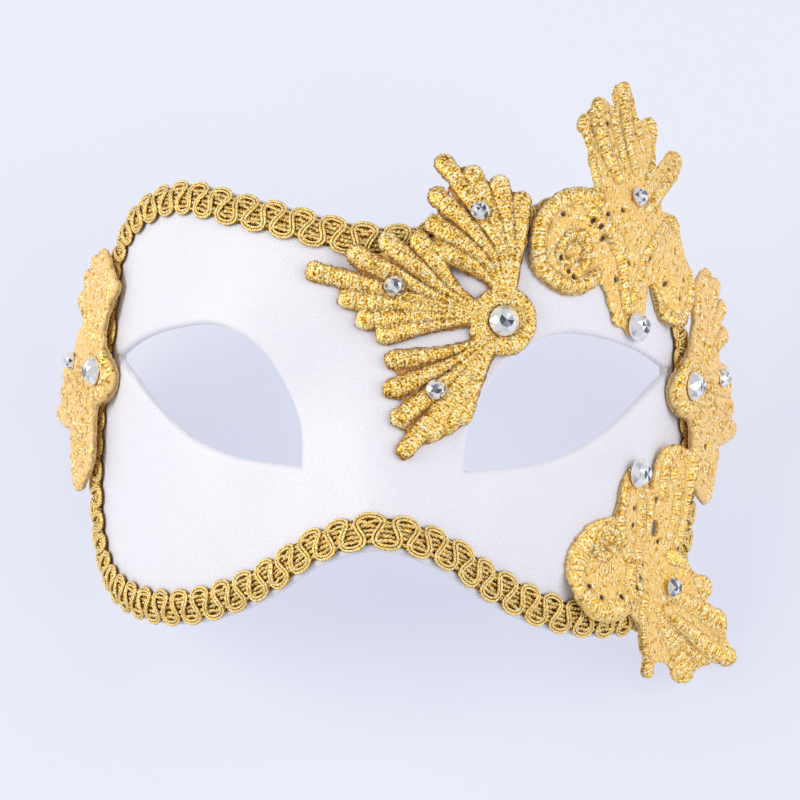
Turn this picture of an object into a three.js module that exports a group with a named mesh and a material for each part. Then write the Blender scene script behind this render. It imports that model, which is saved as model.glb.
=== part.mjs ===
import * as THREE from 'three';

// A satin-covered half mask with a gimp braid round its rim, five gold lace motifs and twelve stones.
// Lengths are millimetres and angles degrees. The face is first described flat, by u across the
// cheeks from the nose line and v up from the inner eye corners, and is then laid on a curved skin.

// The face: how the side turns away from the brow plane, and the nose, brow, cheeks and eye sockets.
const cheekTurn = 62;
const cheekReach = 86;
const cheekStep = 0.5;
const cheekEnd = 160;
const nose = { height: 18.7, halfWidth: 17.3, top: 30, low: -24, growth: 1.3, flare: 0.4, waist: 0.7 };
const noseOverrun = 1.5;
const browLean = { from: 12, rate: 0.0048 };
const cheekLean = { from: -12, rate: 0.0011 };
const socket = { depth: 2.5, u: 33, v: 13, halfWidth: 20, halfHeight: 16 };

// Thicknesses outward along the skin, whose zero is the outer face of the satin.
const gap = 0.3;
const satinThickness = 0.3;
const shellThickness = 1.9;
const laceThickness = 1.2;
const braidHeight = 2;

// The right half of the rim from the brow to the nose tip, and of the lids from the inner eye corner.
const rimHalf = [
  [0, 55.5], [30, 61], [54, 64.8], [77, 58], [89.5, 45], [93, 26], [99.5, 4], [100, -15],
  [95, -29], [84, -37.5], [67, -40.5], [50, -39.8], [36, -36], [24, -29.3], [13, -21], [0, -17],
];
const upperLid = [
  [19, 0], [20, 10.5], [25.5, 21.5], [32, 28], [42, 31.6], [56, 30.2], [71, 26.6], [84, 22],
];
const lowerLid = [[84, 22], [72, 16.8], [60, 10.4], [47, 4.4], [34, 1], [19, 0]];

// The braid: its band inside the rim, the length of one loop, and how far its loops bulge.
const braidBand = { outer: 0.4, inner: 7.6, bulge: 0.8, loop: 7.4, bevel: 1.2 };

// Lace rides over the braid: it is lifted near the rim and comes down to the satin further in.
const laceLift = { height: braidHeight + gap, full: 9.2, none: 15 };

// A fan is a long lobe between two sets of three, all rounded and from one root. The ring holds a
// stone and joins three fans. Each side of a fan has the length of its lobe next to the long one,
// its outermost lobe and its spread.
const ringRadius = 7.8;
const fanRoot = 9;
const fanNeck = 3;
const lobesEachSide = 3;
const lobe = { root: 1.5, tip: 2.5, longTip: 2.1 };
const lobeSpacing = 1.15;
const centreRing = [26.6, 34.1];
const centreFans = [
  { axis: 113, long: 31, left: [24.8, 15, 37], right: [26.5, 21.2, 43], stone: [24.5, 105] },
  { axis: 167, long: 36.4, left: [28.2, 19.7, 31], right: [28.9, 20.2, 41], stone: [26, 164] },
  { axis: 234, long: 28.9, left: [23.4, 17.3, 22], right: [24, 20.6, 48], stone: [22.1, 226] },
];
const templeRing = [89, 18.2];
const templeFans = {
  right: [
    { axis: 70, long: 20.5, left: [19.5, 17.5, 15], right: [20, 17, 36] },
    { axis: -24, long: 23, left: [19.5, 15.5, 52], right: [20, 15, 26], stone: [18.5, 4] },
    { axis: -66, long: 23.5, left: [22.5, 18, 28], right: [21.5, 16, 20] },
  ],
  left: [
    { axis: 92, long: 21, left: [19.5, 16.5, 30], right: [19, 14, 34] },
    { axis: -24, long: 24, left: [20, 15, 46], right: [21, 15, 26], stone: [18, 5] },
    { axis: -64, long: 25.5, left: [24, 19, 24], right: [23, 15, 26] },
  ],
};

// A scroll-and-leaf motif: places are measured from the middle of its scroll. Each bar is given by
// its start, its start radius, its end and its end radius, and each leaf tip by its place and radius.
const upperScroll = {
  middle: [43.8, 52.2],
  radius: 12.3,
  bars: {
    strap: [[17, 3], 11.5, [20.5, -17.5], 4.4],
    edgeStrip: [[8, 0], 3, [14.5, -17], 2.4],
    sideLobe: [[30, 0], 7.5, [37.5, -11.5], 8.2],
    leafFill: [[17, 8], 10, [12.5, 20], 10.3],
  },
  leafRoot: [19, 8],
  leafTips: [[-0.3, 28.9, 2.6], [4.1, 33.4, 3], [12.1, 38, 3.5], [22.8, 30, 3.6], [37, 21, 4.2]],
  strapStone: [20.3, -19.4],
  leafStone: [17.6, 10.3],
};
const lowerScroll = {
  middle: [56.3, -24.1],
  radius: 12.6,
  bars: {
    strap: [[12, 0], 9.5, [10.5, 20], 4.6],
    edgeStrip: [[4, 6], 3, [6.8, 19], 2.4],
    sideLobe: [[21.5, 8], 7.5, [25, 22], 6.8],
    leafFill: [[13, -9], 6, [22, -15], 8.6],
    leafNeck: [[20, 4], 6.5, [22, -6], 8],
  },
  leafRoot: [18, -5],
  leafTips: [[14.4, -27.7, 2.6], [27, -30, 3.6], [41, -25.8, 3.4], [38.6, -16.6, 3.8], [34.6, -7.8, 4]],
  strapStone: [10.2, 22.4],
  leafStone: [22, -5.8],
};
const leafLobeRoot = 3;
// The lower motif stands off the steep cheek instead of following it.
const lowerFlare = { from: 68, rate: 0.012, reach: 34 };

// Stones: a large size on the rings and straps, and a small one on the fans and leaves.
const largeStone = 7.1;
const smallStone = 4.7;
const stoneShape = { girdle: 0.06, height: 0.36, table: 0.46, sides: 8 };
// The lace under a stone is felt every seatTurn degrees at these shares of the stone's radius.
const seatTurn = 30;
const seatShares = [0.5, 1, 1.3];

// The faceted sheets: steps along outlines, grid steps, the flat area of the cover's grid, and how
// far a lace's grid reaches past its strokes.
const rimSteps = 6;
const lidSteps = 5;
const coverGrid = 6.6;
const coverArea = { low: [-103.3, -45], high: [104, 69] };
const laceGrid = 3.2;
const laceMargin = 16;

// A grid point closer to the outline than this share of a step moves onto it, in a few passes.
const snapShare = 0.3;
const snapPasses = 3;
const leastSteepness = 0.25;
const cutHalvings = 20;

// The mask lies face up on the two temple laces and the tip of the lower leaf: its brow is raised
// about the X axis, and the right side is a little lower than the left one.
const lie = { browUp: 21, rightDown: 0.4 };

const clamp = THREE.MathUtils.clamp;
const lerp = THREE.MathUtils.lerp;
const smoothstep = THREE.MathUtils.smoothstep;
const radians = THREE.MathUtils.degToRad;

function traceCheek() {
  const points = [{ x: 0, z: 0 }];
  for (let u = cheekStep / 2; u < cheekEnd; u += cheekStep) {
    const turn = radians(cheekTurn) * smoothstep(u, 0, cheekReach);
    const last = points[points.length - 1];
    points.push({ x: last.x + Math.cos(turn) * cheekStep, z: last.z - Math.sin(turn) * cheekStep });
  }
  return points;
}

const cheekTrace = traceCheek();

function facePoint(u, v) {
  const across = Math.abs(u);
  const place = Math.min(across / cheekStep, cheekTrace.length - 2);
  const before = cheekTrace[Math.floor(place)];
  const after = cheekTrace[Math.floor(place) + 1];
  const share = place - Math.floor(place);
  const droop = clamp((nose.top - v) / (nose.top - nose.low), 0, noseOverrun);
  const noseSide = across / (nose.halfWidth * (nose.waist + nose.flare * droop));
  const socketSide = (across - socket.u) / socket.halfWidth;
  const socketUp = (v - socket.v) / socket.halfHeight;
  const z = lerp(before.z, after.z, share)
    + nose.height * droop ** nose.growth * Math.exp(-(noseSide ** 2))
    - browLean.rate * Math.max(v - browLean.from, 0) ** 2
    - cheekLean.rate * Math.max(cheekLean.from - v, 0) ** 2
    - socket.depth * Math.exp(-(socketSide ** 2) - socketUp ** 2);
  return new THREE.Vector3(Math.sign(u) * lerp(before.x, after.x, share), v, z);
}

function faceNormal(u, v) {
  const reach = 0.05;
  const alongU = facePoint(u + reach, v).sub(facePoint(u - reach, v));
  const alongV = facePoint(u, v + reach).sub(facePoint(u, v - reach));
  return alongU.cross(alongV).normalize();
}

function layOnFace(u, v, height) {
  return facePoint(u, v).addScaledVector(faceNormal(u, v), height);
}

// Outlines

function smoothLine(points, stepsEach) {
  const curve = new THREE.SplineCurve(points.map(([u, v]) => new THREE.Vector2(u, v)));
  return curve.getPoints((points.length - 1) * stepsEach);
}

function rimOutline() {
  const left = rimHalf.slice(1, -1).reverse().map(([u, v]) => [-u, v]);
  const ring = [...rimHalf, ...left];
  const wrapped = [ring[ring.length - 1], ...ring, ring[0], ring[1]];
  const line = smoothLine(wrapped, rimSteps);
  return line.slice(rimSteps, rimSteps * (ring.length + 1));
}

function eyeOutline(side) {
  const upper = smoothLine(upperLid, lidSteps);
  const lower = smoothLine(lowerLid, lidSteps);
  return [...upper.slice(0, -1), ...lower.slice(0, -1)].map((p) => new THREE.Vector2(side * p.x, p.y));
}

// Distance to a closed outline, positive inside it.
function outlineReach(outline) {
  return (u, v) => {
    let inside = false;
    let nearest = Infinity;
    for (let i = 0, j = outline.length - 1; i < outline.length; j = i, i += 1) {
      const a = outline[j];
      const b = outline[i];
      const du = b.x - a.x;
      const dv = b.y - a.y;
      const along = clamp(((u - a.x) * du + (v - a.y) * dv) / (du * du + dv * dv), 0, 1);
      nearest = Math.min(nearest, Math.hypot(u - a.x - along * du, v - a.y - along * dv));
      if ((a.y > v) !== (b.y > v) && u < (du * (v - a.y)) / dv + a.x) {
        inside = !inside;
      }
    }
    return inside ? nearest : -nearest;
  };
}

// Distance into a set of strokes, each a rounded bar that widens from its start to its end.
function strokeReach(strokes) {
  return (u, v) => {
    let reach = -Infinity;
    for (const { start, end, startRadius, endRadius } of strokes) {
      const du = end[0] - start[0];
      const dv = end[1] - start[1];
      const long = du * du + dv * dv;
      const along = long > 0 ? clamp(((u - start[0]) * du + (v - start[1]) * dv) / long, 0, 1) : 0;
      const away = Math.hypot(u - start[0] - along * du, v - start[1] - along * dv);
      reach = Math.max(reach, lerp(startRadius, endRadius, along) - away);
    }
    return reach;
  };
}

const rimLine = rimOutline();
const rimReach = outlineReach(rimLine);
const rightEyeReach = outlineReach(eyeOutline(1));
const leftEyeReach = outlineReach(eyeOutline(-1));

function coverReach(u, v) {
  return Math.min(rimReach(u, v), -rightEyeReach(u, v), -leftEyeReach(u, v));
}

// A closed sheet over the part of a flat grid where reach is positive. Grid points close to the
// outline move onto it, cells across it are cut there, and a wall joins the two faces all round.
function cutSheet(reach, low, high, step, place) {
  const columns = Math.ceil((high[0] - low[0]) / step);
  const rows = Math.ceil((high[1] - low[1]) / step);
  const spots = [];
  for (let row = 0; row <= rows; row += 1) {
    for (let column = 0; column <= columns; column += 1) {
      const spot = { u: low[0] + column * step, v: low[1] + row * step };
      spot.value = reach(spot.u, spot.v);
      if (Math.abs(spot.value) < step * snapShare) {
        snapToEdge(spot, reach);
      }
      spots.push(spot);
    }
  }
  const cuts = new Map();
  const cut = (a, b) => {
    const key = edgeName(a, b);
    if (!cuts.has(key)) {
      cuts.set(key, spots.push(edgeSpot(spots[a], spots[b], reach)) - 1);
    }
    return cuts.get(key);
  };
  const triangles = [];
  for (let row = 0; row < rows; row += 1) {
    for (let column = 0; column < columns; column += 1) {
      const a = row * (columns + 1) + column;
      const b = a + 1;
      const c = b + columns + 1;
      const d = c - 1;
      const halves = (row + column) % 2 ? [[a, b, c], [a, c, d]] : [[a, b, d], [b, c, d]];
      for (const half of halves) {
        triangles.push(...clipTriangle(half, spots, cut, reach));
      }
    }
  }
  return closeSheet(spots, largestPatch(triangles), place);
}

function edgeName(a, b) {
  return `${Math.min(a, b)} ${Math.max(a, b)}`;
}

function snapToEdge(spot, reach) {
  const nudge = 0.01;
  for (let pass = 0; pass < snapPasses; pass += 1) {
    const value = reach(spot.u, spot.v);
    const slopeU = (reach(spot.u + nudge, spot.v) - reach(spot.u - nudge, spot.v)) / (2 * nudge);
    const slopeV = (reach(spot.u, spot.v + nudge) - reach(spot.u, spot.v - nudge)) / (2 * nudge);
    const steep = Math.max(slopeU ** 2 + slopeV ** 2, leastSteepness);
    spot.u -= (value * slopeU) / steep;
    spot.v -= (value * slopeV) / steep;
  }
  spot.value = 0;
}

function edgeSpot(a, b, reach) {
  let inner = a.value > 0 ? a : b;
  let outer = a.value > 0 ? b : a;
  for (let pass = 0; pass < cutHalvings; pass += 1) {
    const middle = { u: (inner.u + outer.u) / 2, v: (inner.v + outer.v) / 2 };
    if (reach(middle.u, middle.v) > 0) {
      inner = middle;
    } else {
      outer = middle;
    }
  }
  return { u: inner.u, v: inner.v, value: 0 };
}

function clipTriangle(corners, spots, cut, reach) {
  const kept = [];
  corners.forEach((corner, i) => {
    const next = corners[(i + 1) % 3];
    if (spots[corner].value >= 0) {
      kept.push(corner);
    }
    if (spots[corner].value * spots[next].value < 0) {
      kept.push(cut(corner, next));
    }
  });
  const inside = corners.some((corner) => spots[corner].value > 0);
  const u = corners.reduce((sum, corner) => sum + spots[corner].u, 0) / 3;
  const v = corners.reduce((sum, corner) => sum + spots[corner].v, 0) / 3;
  if (kept.length < 3 || (!inside && reach(u, v) <= 0)) {
    return [];
  }
  return kept.length === 3 ? [kept] : [[kept[0], kept[1], kept[2]], [kept[0], kept[2], kept[3]]];
}

// The largest set of triangles that share edges with one another.
function largestPatch(triangles) {
  const byEdge = new Map();
  triangles.forEach((triangle, index) => {
    triangle.forEach((a, i) => {
      const key = edgeName(a, triangle[(i + 1) % 3]);
      byEdge.set(key, [...(byEdge.get(key) ?? []), index]);
    });
  });
  const patch = new Array(triangles.length).fill(-1);
  const patches = [];
  triangles.forEach((_, first) => {
    if (patch[first] >= 0) {
      return;
    }
    const members = [first];
    patch[first] = patches.length;
    for (let k = 0; k < members.length; k += 1) {
      const triangle = triangles[members[k]];
      triangle.forEach((a, i) => {
        for (const other of byEdge.get(edgeName(a, triangle[(i + 1) % 3]))) {
          if (patch[other] < 0) {
            patch[other] = patches.length;
            members.push(other);
          }
        }
      });
    }
    patches.push(members);
  });
  patches.sort((a, b) => b.length - a.length);
  return patches[0].map((index) => triangles[index]);
}

function closeSheet(spots, triangles, place) {
  const used = new Map();
  const positions = [];
  const corner = (spot, face) => {
    const key = `${spot} ${face}`;
    if (!used.has(key)) {
      used.set(key, positions.length / 3);
      positions.push(...place(spots[spot].u, spots[spot].v, face).toArray());
    }
    return used.get(key);
  };
  const edges = new Map();
  const index = [];
  for (const [a, b, c] of triangles) {
    index.push(corner(a, 1), corner(b, 1), corner(c, 1));
    index.push(corner(a, 0), corner(c, 0), corner(b, 0));
    for (const [from, to] of [[a, b], [b, c], [c, a]]) {
      if (!edges.delete(`${to} ${from}`)) {
        edges.set(`${from} ${to}`, [from, to]);
      }
    }
  }
  for (const [from, to] of edges.values()) {
    index.push(corner(from, 1), corner(from, 0), corner(to, 0));
    index.push(corner(from, 1), corner(to, 0), corner(to, 1));
  }
  return solidGeometry(positions, index);
}

function solidGeometry(positions, index) {
  const geometry = new THREE.BufferGeometry();
  geometry.setAttribute('position', new THREE.Float32BufferAttribute(positions, 3));
  geometry.setIndex(index);
  geometry.computeVertexNormals();
  return geometry;
}

// The shell and its satin

function coverSheet(outer, thickness) {
  return cutSheet(
    coverReach,
    coverArea.low,
    coverArea.high,
    coverGrid,
    (u, v, face) => layOnFace(u, v, outer - (face ? 0 : thickness)),
  );
}

// The braid, swept round the rim with loops that bulge outward and inward in turn

function braidRing() {
  const curve = new THREE.CatmullRomCurve3(rimLine.map((p) => new THREE.Vector3(p.x, p.y, 0)), true);
  const loops = Math.round(curve.getLength() / braidBand.loop);
  const steps = loops * 2;
  const positions = [];
  const index = [];
  for (let i = 0; i < steps; i += 1) {
    const at = curve.getPointAt(i / steps);
    const along = curve.getTangentAt(i / steps);
    const pulledIn = i % 2 ? 0 : braidBand.bulge;
    const outer = braidBand.outer + pulledIn;
    const inner = braidBand.inner - pulledIn;
    const section = [
      [outer, gap],
      [inner, gap],
      [inner - braidBand.bevel, gap + braidHeight],
      [outer + braidBand.bevel, gap + braidHeight],
    ];
    for (const [inward, height] of section) {
      const spot = layOnFace(at.x + along.y * inward, at.y - along.x * inward, height);
      positions.push(...spot.toArray());
    }
  }
  const corners = 4;
  for (let i = 0; i < steps; i += 1) {
    const here = i * corners;
    const next = ((i + 1) % steps) * corners;
    for (let k = 0; k < corners; k += 1) {
      const after = (k + 1) % corners;
      index.push(here + k, next + k, here + after, here + after, next + k, next + after);
    }
  }
  return solidGeometry(positions, index);
}

// Lace motifs

function turned(from, degrees, length) {
  return [from[0] + Math.cos(radians(degrees)) * length, from[1] + Math.sin(radians(degrees)) * length];
}

function disc(middle, radius) {
  return { start: middle, end: middle, startRadius: radius, endRadius: radius };
}

function fanStrokes(ring, fan) {
  const root = turned(ring, fan.axis, fanRoot);
  const strokes = [{ start: ring, end: root, startRadius: fanNeck, endRadius: fanNeck }];
  for (let i = -lobesEachSide; i <= lobesEachSide; i += 1) {
    const [next, outer, spread] = i > 0 ? fan.left : fan.right;
    const away = Math.abs(i);
    const angle = fan.axis + Math.sign(i) * spread * (away / lobesEachSide) ** lobeSpacing;
    const length = i === 0 ? fan.long : lerp(next, outer, (away - 1) / (lobesEachSide - 1));
    const endRadius = i === 0 ? lobe.longTip : lobe.tip;
    const end = turned(root, angle, length - endRadius);
    strokes.push({ start: root, end, startRadius: lobe.root, endRadius });
  }
  return strokes;
}

function fanLaceStrokes(ring, fans) {
  return [disc(ring, ringRadius), ...fans.flatMap((fan) => fanStrokes(ring, fan))];
}

function fromMiddle(motif, [u, v]) {
  return [motif.middle[0] + u, motif.middle[1] + v];
}

function scrollLaceStrokes(motif) {
  const bars = Object.values(motif.bars).map(([start, startRadius, end, endRadius]) => (
    { start: fromMiddle(motif, start), end: fromMiddle(motif, end), startRadius, endRadius }
  ));
  const leaf = motif.leafTips.map(([u, v, endRadius]) => {
    const length = Math.hypot(u - motif.leafRoot[0], v - motif.leafRoot[1]);
    const end = [u, v].map((tip, k) => lerp(motif.leafRoot[k], tip, (length - endRadius) / length));
    return {
      start: fromMiddle(motif, motif.leafRoot),
      end: fromMiddle(motif, end),
      startRadius: leafLobeRoot,
      endRadius,
    };
  });
  return [disc(motif.middle, motif.radius), ...bars, ...leaf];
}

function liftAt(u, v) {
  return laceLift.height * (1 - smoothstep(rimReach(u, v), laceLift.full, laceLift.none));
}

function flareAt(u) {
  const past = Math.max(Math.abs(u) - lowerFlare.from, 0);
  return lowerFlare.rate * Math.min(past, lowerFlare.reach) ** 2;
}

function layLace(flared) {
  return (u, v, height) => layOnFace(u, v, gap + liftAt(u, v) + (flared ? flareAt(u) : 0) + height);
}

function laceSheet(strokes, lay) {
  const ends = strokes.flatMap(({ start, end }) => [start, end]);
  const low = [0, 1].map((k) => Math.min(...ends.map((end) => end[k])) - laceMargin);
  const high = [0, 1].map((k) => Math.max(...ends.map((end) => end[k])) + laceMargin);
  const place = (u, v, face) => lay(u, v, face * laceThickness);
  return cutSheet(strokeReach(strokes), low, high, laceGrid, place);
}

function mirrored(strokes) {
  return strokes.map((stroke) => ({
    ...stroke,
    start: [-stroke.start[0], stroke.start[1]],
    end: [-stroke.end[0], stroke.end[1]],
  }));
}

// Stones

function stoneGeometry(diameter) {
  const radius = diameter / 2;
  const girdle = diameter * stoneShape.girdle;
  const height = diameter * stoneShape.height;
  const table = radius * stoneShape.table;
  const profile = [[0, 0], [radius, 0], [radius, girdle], [table, height], [0, height]];
  const points = profile.map(([across, up]) => new THREE.Vector2(across, up));
  const geometry = new THREE.LatheGeometry(points, stoneShape.sides);
  geometry.rotateX(Math.PI / 2);
  return geometry;
}

// A stone's flat back clears the highest lace under it.
function setStone(mesh, [u, v], radius, lay) {
  const seat = lay(u, v, laceThickness);
  const alongU = lay(u + radius, v, laceThickness).sub(lay(u - radius, v, laceThickness));
  const alongV = lay(u, v + radius, laceThickness).sub(lay(u, v - radius, laceThickness));
  const normal = alongU.cross(alongV).normalize();
  let rise = 0;
  for (let turn = 0; turn < 360; turn += seatTurn) {
    for (const share of seatShares) {
      const [edgeU, edgeV] = turned([u, v], turn, radius * share);
      rise = Math.max(rise, lay(edgeU, edgeV, laceThickness).sub(seat).dot(normal));
    }
  }
  mesh.quaternion.setFromUnitVectors(new THREE.Vector3(0, 0, 1), normal);
  mesh.position.copy(seat.addScaledVector(normal, rise + gap));
}

// Finishes

function finish(color, roughness, metalness) {
  return new THREE.MeshStandardMaterial({ color, roughness, metalness });
}

const satinFinish = () => finish('#f4f4f8', 0.45, 0);
const shellFinish = () => finish('#e9e7e2', 0.8, 0);
const braidFinish = () => finish('#a8893a', 0.4, 1);
const laceFinish = () => finish('#e0a94c', 0.45, 0.8);
const stoneFinish = () => finish('#e6eaf0', 0.05, 0.1);

// Assembly

const mask = new THREE.Group();

function addPiece(name, geometry, material) {
  const mesh = new THREE.Mesh(geometry, material);
  mesh.name = name;
  mask.add(mesh);
  return mesh;
}

function addStone(name, diameter, spot, lay) {
  setStone(addPiece(name, stoneGeometry(diameter), stoneFinish()), spot, diameter / 2, lay);
}

function addLace(name, strokes, lay) {
  addPiece(`lace_${name}`, laceSheet(strokes, lay), laceFinish());
}

addPiece('mask_shell', coverSheet(-satinThickness - gap, shellThickness), shellFinish());
addPiece('satin_cover', coverSheet(0, satinThickness), satinFinish());
addPiece('gimp_braid', braidRing(), braidFinish());

const layFlat = layLace(false);
const layFlared = layLace(true);
addLace('centre', fanLaceStrokes(centreRing, centreFans), layFlat);
addLace('upper_scroll', scrollLaceStrokes(upperScroll), layFlat);
addLace('lower_scroll', scrollLaceStrokes(lowerScroll), layFlared);
addLace('temple_right', fanLaceStrokes(templeRing, templeFans.right), layFlat);
addLace('temple_left', mirrored(fanLaceStrokes(templeRing, templeFans.left)), layFlat);

addStone('rhinestone_centre_ring', largeStone, centreRing, layFlat);
centreFans.forEach((fan, i) => {
  const [distance, angle] = fan.stone;
  addStone(`rhinestone_centre_fan_${i + 1}`, smallStone, turned(centreRing, angle, distance), layFlat);
});
const scrolls = [
  ['upper', upperScroll, layFlat],
  ['lower', lowerScroll, layFlared],
];
for (const [name, motif, lay] of scrolls) {
  addStone(`rhinestone_${name}_strap`, largeStone, fromMiddle(motif, motif.strapStone), lay);
  addStone(`rhinestone_${name}_leaf`, smallStone, fromMiddle(motif, motif.leafStone), lay);
}
for (const [name, side] of [['right', 1], ['left', -1]]) {
  const [distance, angle] = templeFans[name][1].stone;
  const [ringU, ringV] = templeRing;
  const [fanU, fanV] = turned(templeRing, angle, distance);
  addStone(`rhinestone_temple_${name}_ring`, largeStone, [side * ringU, ringV], layFlat);
  addStone(`rhinestone_temple_${name}_fan`, smallStone, [side * fanU, fanV], layFlat);
}

// The mask lies on the surface below it, with its origin under the middle of its box.
mask.rotation.set(radians(lie.browUp), radians(lie.rightDown), 0, 'YXZ');
mask.updateMatrixWorld(true);
const box = new THREE.Box3().setFromObject(mask, true);
const middle = box.getCenter(new THREE.Vector3());
mask.position.set(-middle.x, -middle.y, -box.min.z);

export default mask;
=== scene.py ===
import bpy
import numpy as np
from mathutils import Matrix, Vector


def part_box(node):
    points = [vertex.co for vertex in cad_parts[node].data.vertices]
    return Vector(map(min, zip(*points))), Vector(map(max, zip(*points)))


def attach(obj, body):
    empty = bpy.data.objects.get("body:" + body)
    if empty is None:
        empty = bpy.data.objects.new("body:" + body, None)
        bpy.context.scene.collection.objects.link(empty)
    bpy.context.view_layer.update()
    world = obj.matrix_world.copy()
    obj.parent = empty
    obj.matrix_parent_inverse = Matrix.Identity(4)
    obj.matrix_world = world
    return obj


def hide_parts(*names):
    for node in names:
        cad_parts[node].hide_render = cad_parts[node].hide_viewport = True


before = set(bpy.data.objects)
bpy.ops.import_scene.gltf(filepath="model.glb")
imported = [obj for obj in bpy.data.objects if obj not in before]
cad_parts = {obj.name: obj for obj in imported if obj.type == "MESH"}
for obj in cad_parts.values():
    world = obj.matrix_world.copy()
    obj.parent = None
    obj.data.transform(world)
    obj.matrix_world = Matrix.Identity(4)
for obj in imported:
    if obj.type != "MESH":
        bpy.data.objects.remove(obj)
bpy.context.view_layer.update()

# A half mask in white satin with a gimp braid round its rim, gold lace motifs and clear stones.
# Lengths are millimetres and angles degrees until a mesh is made, which is in metres. The face is
# described flat, by u across the cheeks and v up from the inner eye corners, and laid on its skin.

# The face: how the cheek turns away, and the nose, brow, lower cheek and eye sockets
CHEEK = dict(turn=62, reach=86, step=0.5, end=160)
NOSE = dict(height=18.7, half_width=17.3, top=30, low=-24, growth=1.3, flare=0.4, waist=0.7, overrun=1.5)
BROW_LEAN = dict(start=12, rate=0.0048)
CHEEK_LEAN = dict(start=-12, rate=0.0011)
SOCKET = dict(depth=2.5, u=33, v=13, half_width=20, half_height=16)

# Layers outward along the skin, whose zero is the outer face of the satin: the gap left under lace
# and stones, the satin's thickness, the shell's two faces and how far it stays inside the outline,
# the radius of the satin's rolled edge and the degrees between its rows, and the hem. Faces of the
# shell that meet at more degrees than sharp aren't smoothed.
GAP = 0.3
SATIN = 0.25
SHELL = dict(front=-0.35, back=-2.35, inset=0.6, sharp=50)
EDGE_ROLL = 1.35
ROLL_STEP = 15
HEM = dict(width=5.5, wave=0.7, size=6, seed=9)

# Slow, shallow unevenness of glued satin, as layers of height, size and seed
SATIN_SWELL = ((0.09, 17, 3), (0.05, 7, 4))

# The right half of the rim from the brow to the nose tip, and of the lids from the inner eye corner
RIM_HALF = [
    (0, 55.5), (30, 61), (54, 64.8), (77, 58), (89.5, 45), (93, 26), (99.5, 4), (100, -15),
    (95, -29), (84, -37.5), (67, -40.5), (50, -39.8), (36, -36), (24, -29.3), (13, -21), (0, -17),
]
UPPER_LID = [(19, 0), (20, 10.5), (25.5, 21.5), (32, 28), (42, 31.6), (56, 30.2), (71, 26.6), (84, 22)]
LOWER_LID = [(84, 22), (72, 16.8), (60, 10.4), (47, 4.4), (34, 1), (19, 0)]

# The braid: its middle inside the rim, the length of one loop up and down, and the meander's shape.
# Its pair of cords arches over rows of beaded thread, which lie on a flat band of thread ends, painted dark
# as the shade between the threads.
BRAID = dict(middle=4.3, loop=7.3, reach=3.75, bulge=1.5, base=0.1, loop_steps=2000)
BRAID_CORD = dict(apart=0.72, radius=0.37, low=0.65, arch=0.85, arch_width=2.4, step=0.5, sides=6)
BRAID_BEADS = dict(rows=(-2.2, -1.1, 0, 1.1, 2.2), radius=0.5, drawn=0.28, each_loop=7, low=0.45, arch=0.3,
                   steps=24, sides=5)
# The band's upward value is painted shade: a facing that reads as turned down, so the band colours dark
BRAID_BAND = dict(height=0.35, radius=0.15, wide=21, steps=6, sides=8, upward=-0.6)

# Unevenness of the braid's threads, as layers of height, size and seed
CORD_SWELL = ((0.08, 0.9, 41),)
BEAD_SWAY = ((0.3, 1.1, 43),)
BEAD_SWELL = ((0.6, 0.7, 53),)

# Lace rides over the braid near the rim and comes down to the satin further in
LIFT = dict(height=2.3, full=9.2, none=15)
LOWER_FLARE = dict(start=68, rate=0.012, reach=34)

# Fans: seven lobes leave the ring side by side and bend outward, and a ring joins three fans. Each
# fan has its axis, the way its neck leaves the ring where that differs, the length of its middle
# lobe, and for each side the lengths of the inner and outer lobes and the angle they spread over.
# wide is how far the outer lobes start from the neck's middle, and aside moves all the starts.
# A stone lies at a distance and an angle from the ring.
RING_RADIUS = 8.2
RING_CORD = dict(radius=5.8, half=2.5, height=1.2)
FAN_ROOT = 9
LOBE = dict(root=0.8, tip=2.6, long_tip=2.5, spacing=1.15, each_side=3, start=5, bend=15.5, early=0.35,
            neck=1.7, web=2.2, full=0.8, cord_root=0.5, inset=0.1, height=0.5, points=8)
CENTRE_RING = (26.6, 34.1)
CENTRE_FANS = [
    dict(axis=113, neck=86, long=31, left=(24.9, 15.9, 37.5), right=(26.7, 21.8, 43), stone=(24.5, 105)),
    dict(axis=167, long=38, left=(29.5, 21.5, 31), right=(30.3, 21, 41), stone=(26, 164)),
    dict(axis=234, long=29.7, left=(23.4, 17.3, 22), right=(25.6, 21.9, 48), stone=(22.1, 226)),
]
TEMPLE_RING = (89, 18.2)
TEMPLE_BODY = dict(direction=16, distance=10, radius=8.5, web=3.2, cord_height=0.32)
TEMPLE_PITS = dict(
    right=[(97.5, 16.5), (92.5, 37), (95.5, 28), (98, 3)],
    left=[(91.5, 36), (95, -2), (96, 24)],
)
TEMPLE_FANS = dict(
    right=[
        dict(wide=4.4, aside=-2.4, axis=70, long=20.5, left=(19.5, 17.5, 15), right=(21.5, 19.5, 60)),
        dict(wide=4.6, axis=-24, long=23, left=(19.5, 15.5, 52), right=(20, 15, 26), stone=(18.5, 4)),
        dict(wide=4.2, aside=3, axis=-66, long=23.5, left=(22.5, 18, 28), right=(21.5, 16, 20)),
    ],
    left=[
        dict(wide=4.4, aside=-2.4, axis=92, long=21, left=(19.5, 16.5, 30), right=(20, 18, 62)),
        dict(wide=4.6, axis=-24, long=24, left=(20, 15, 46), right=(21, 15, 26), stone=(18, 5)),
        dict(wide=4.2, aside=3, axis=-64, long=25.5, left=(24, 19, 24), right=(23, 15, 26)),
    ],
)

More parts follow.
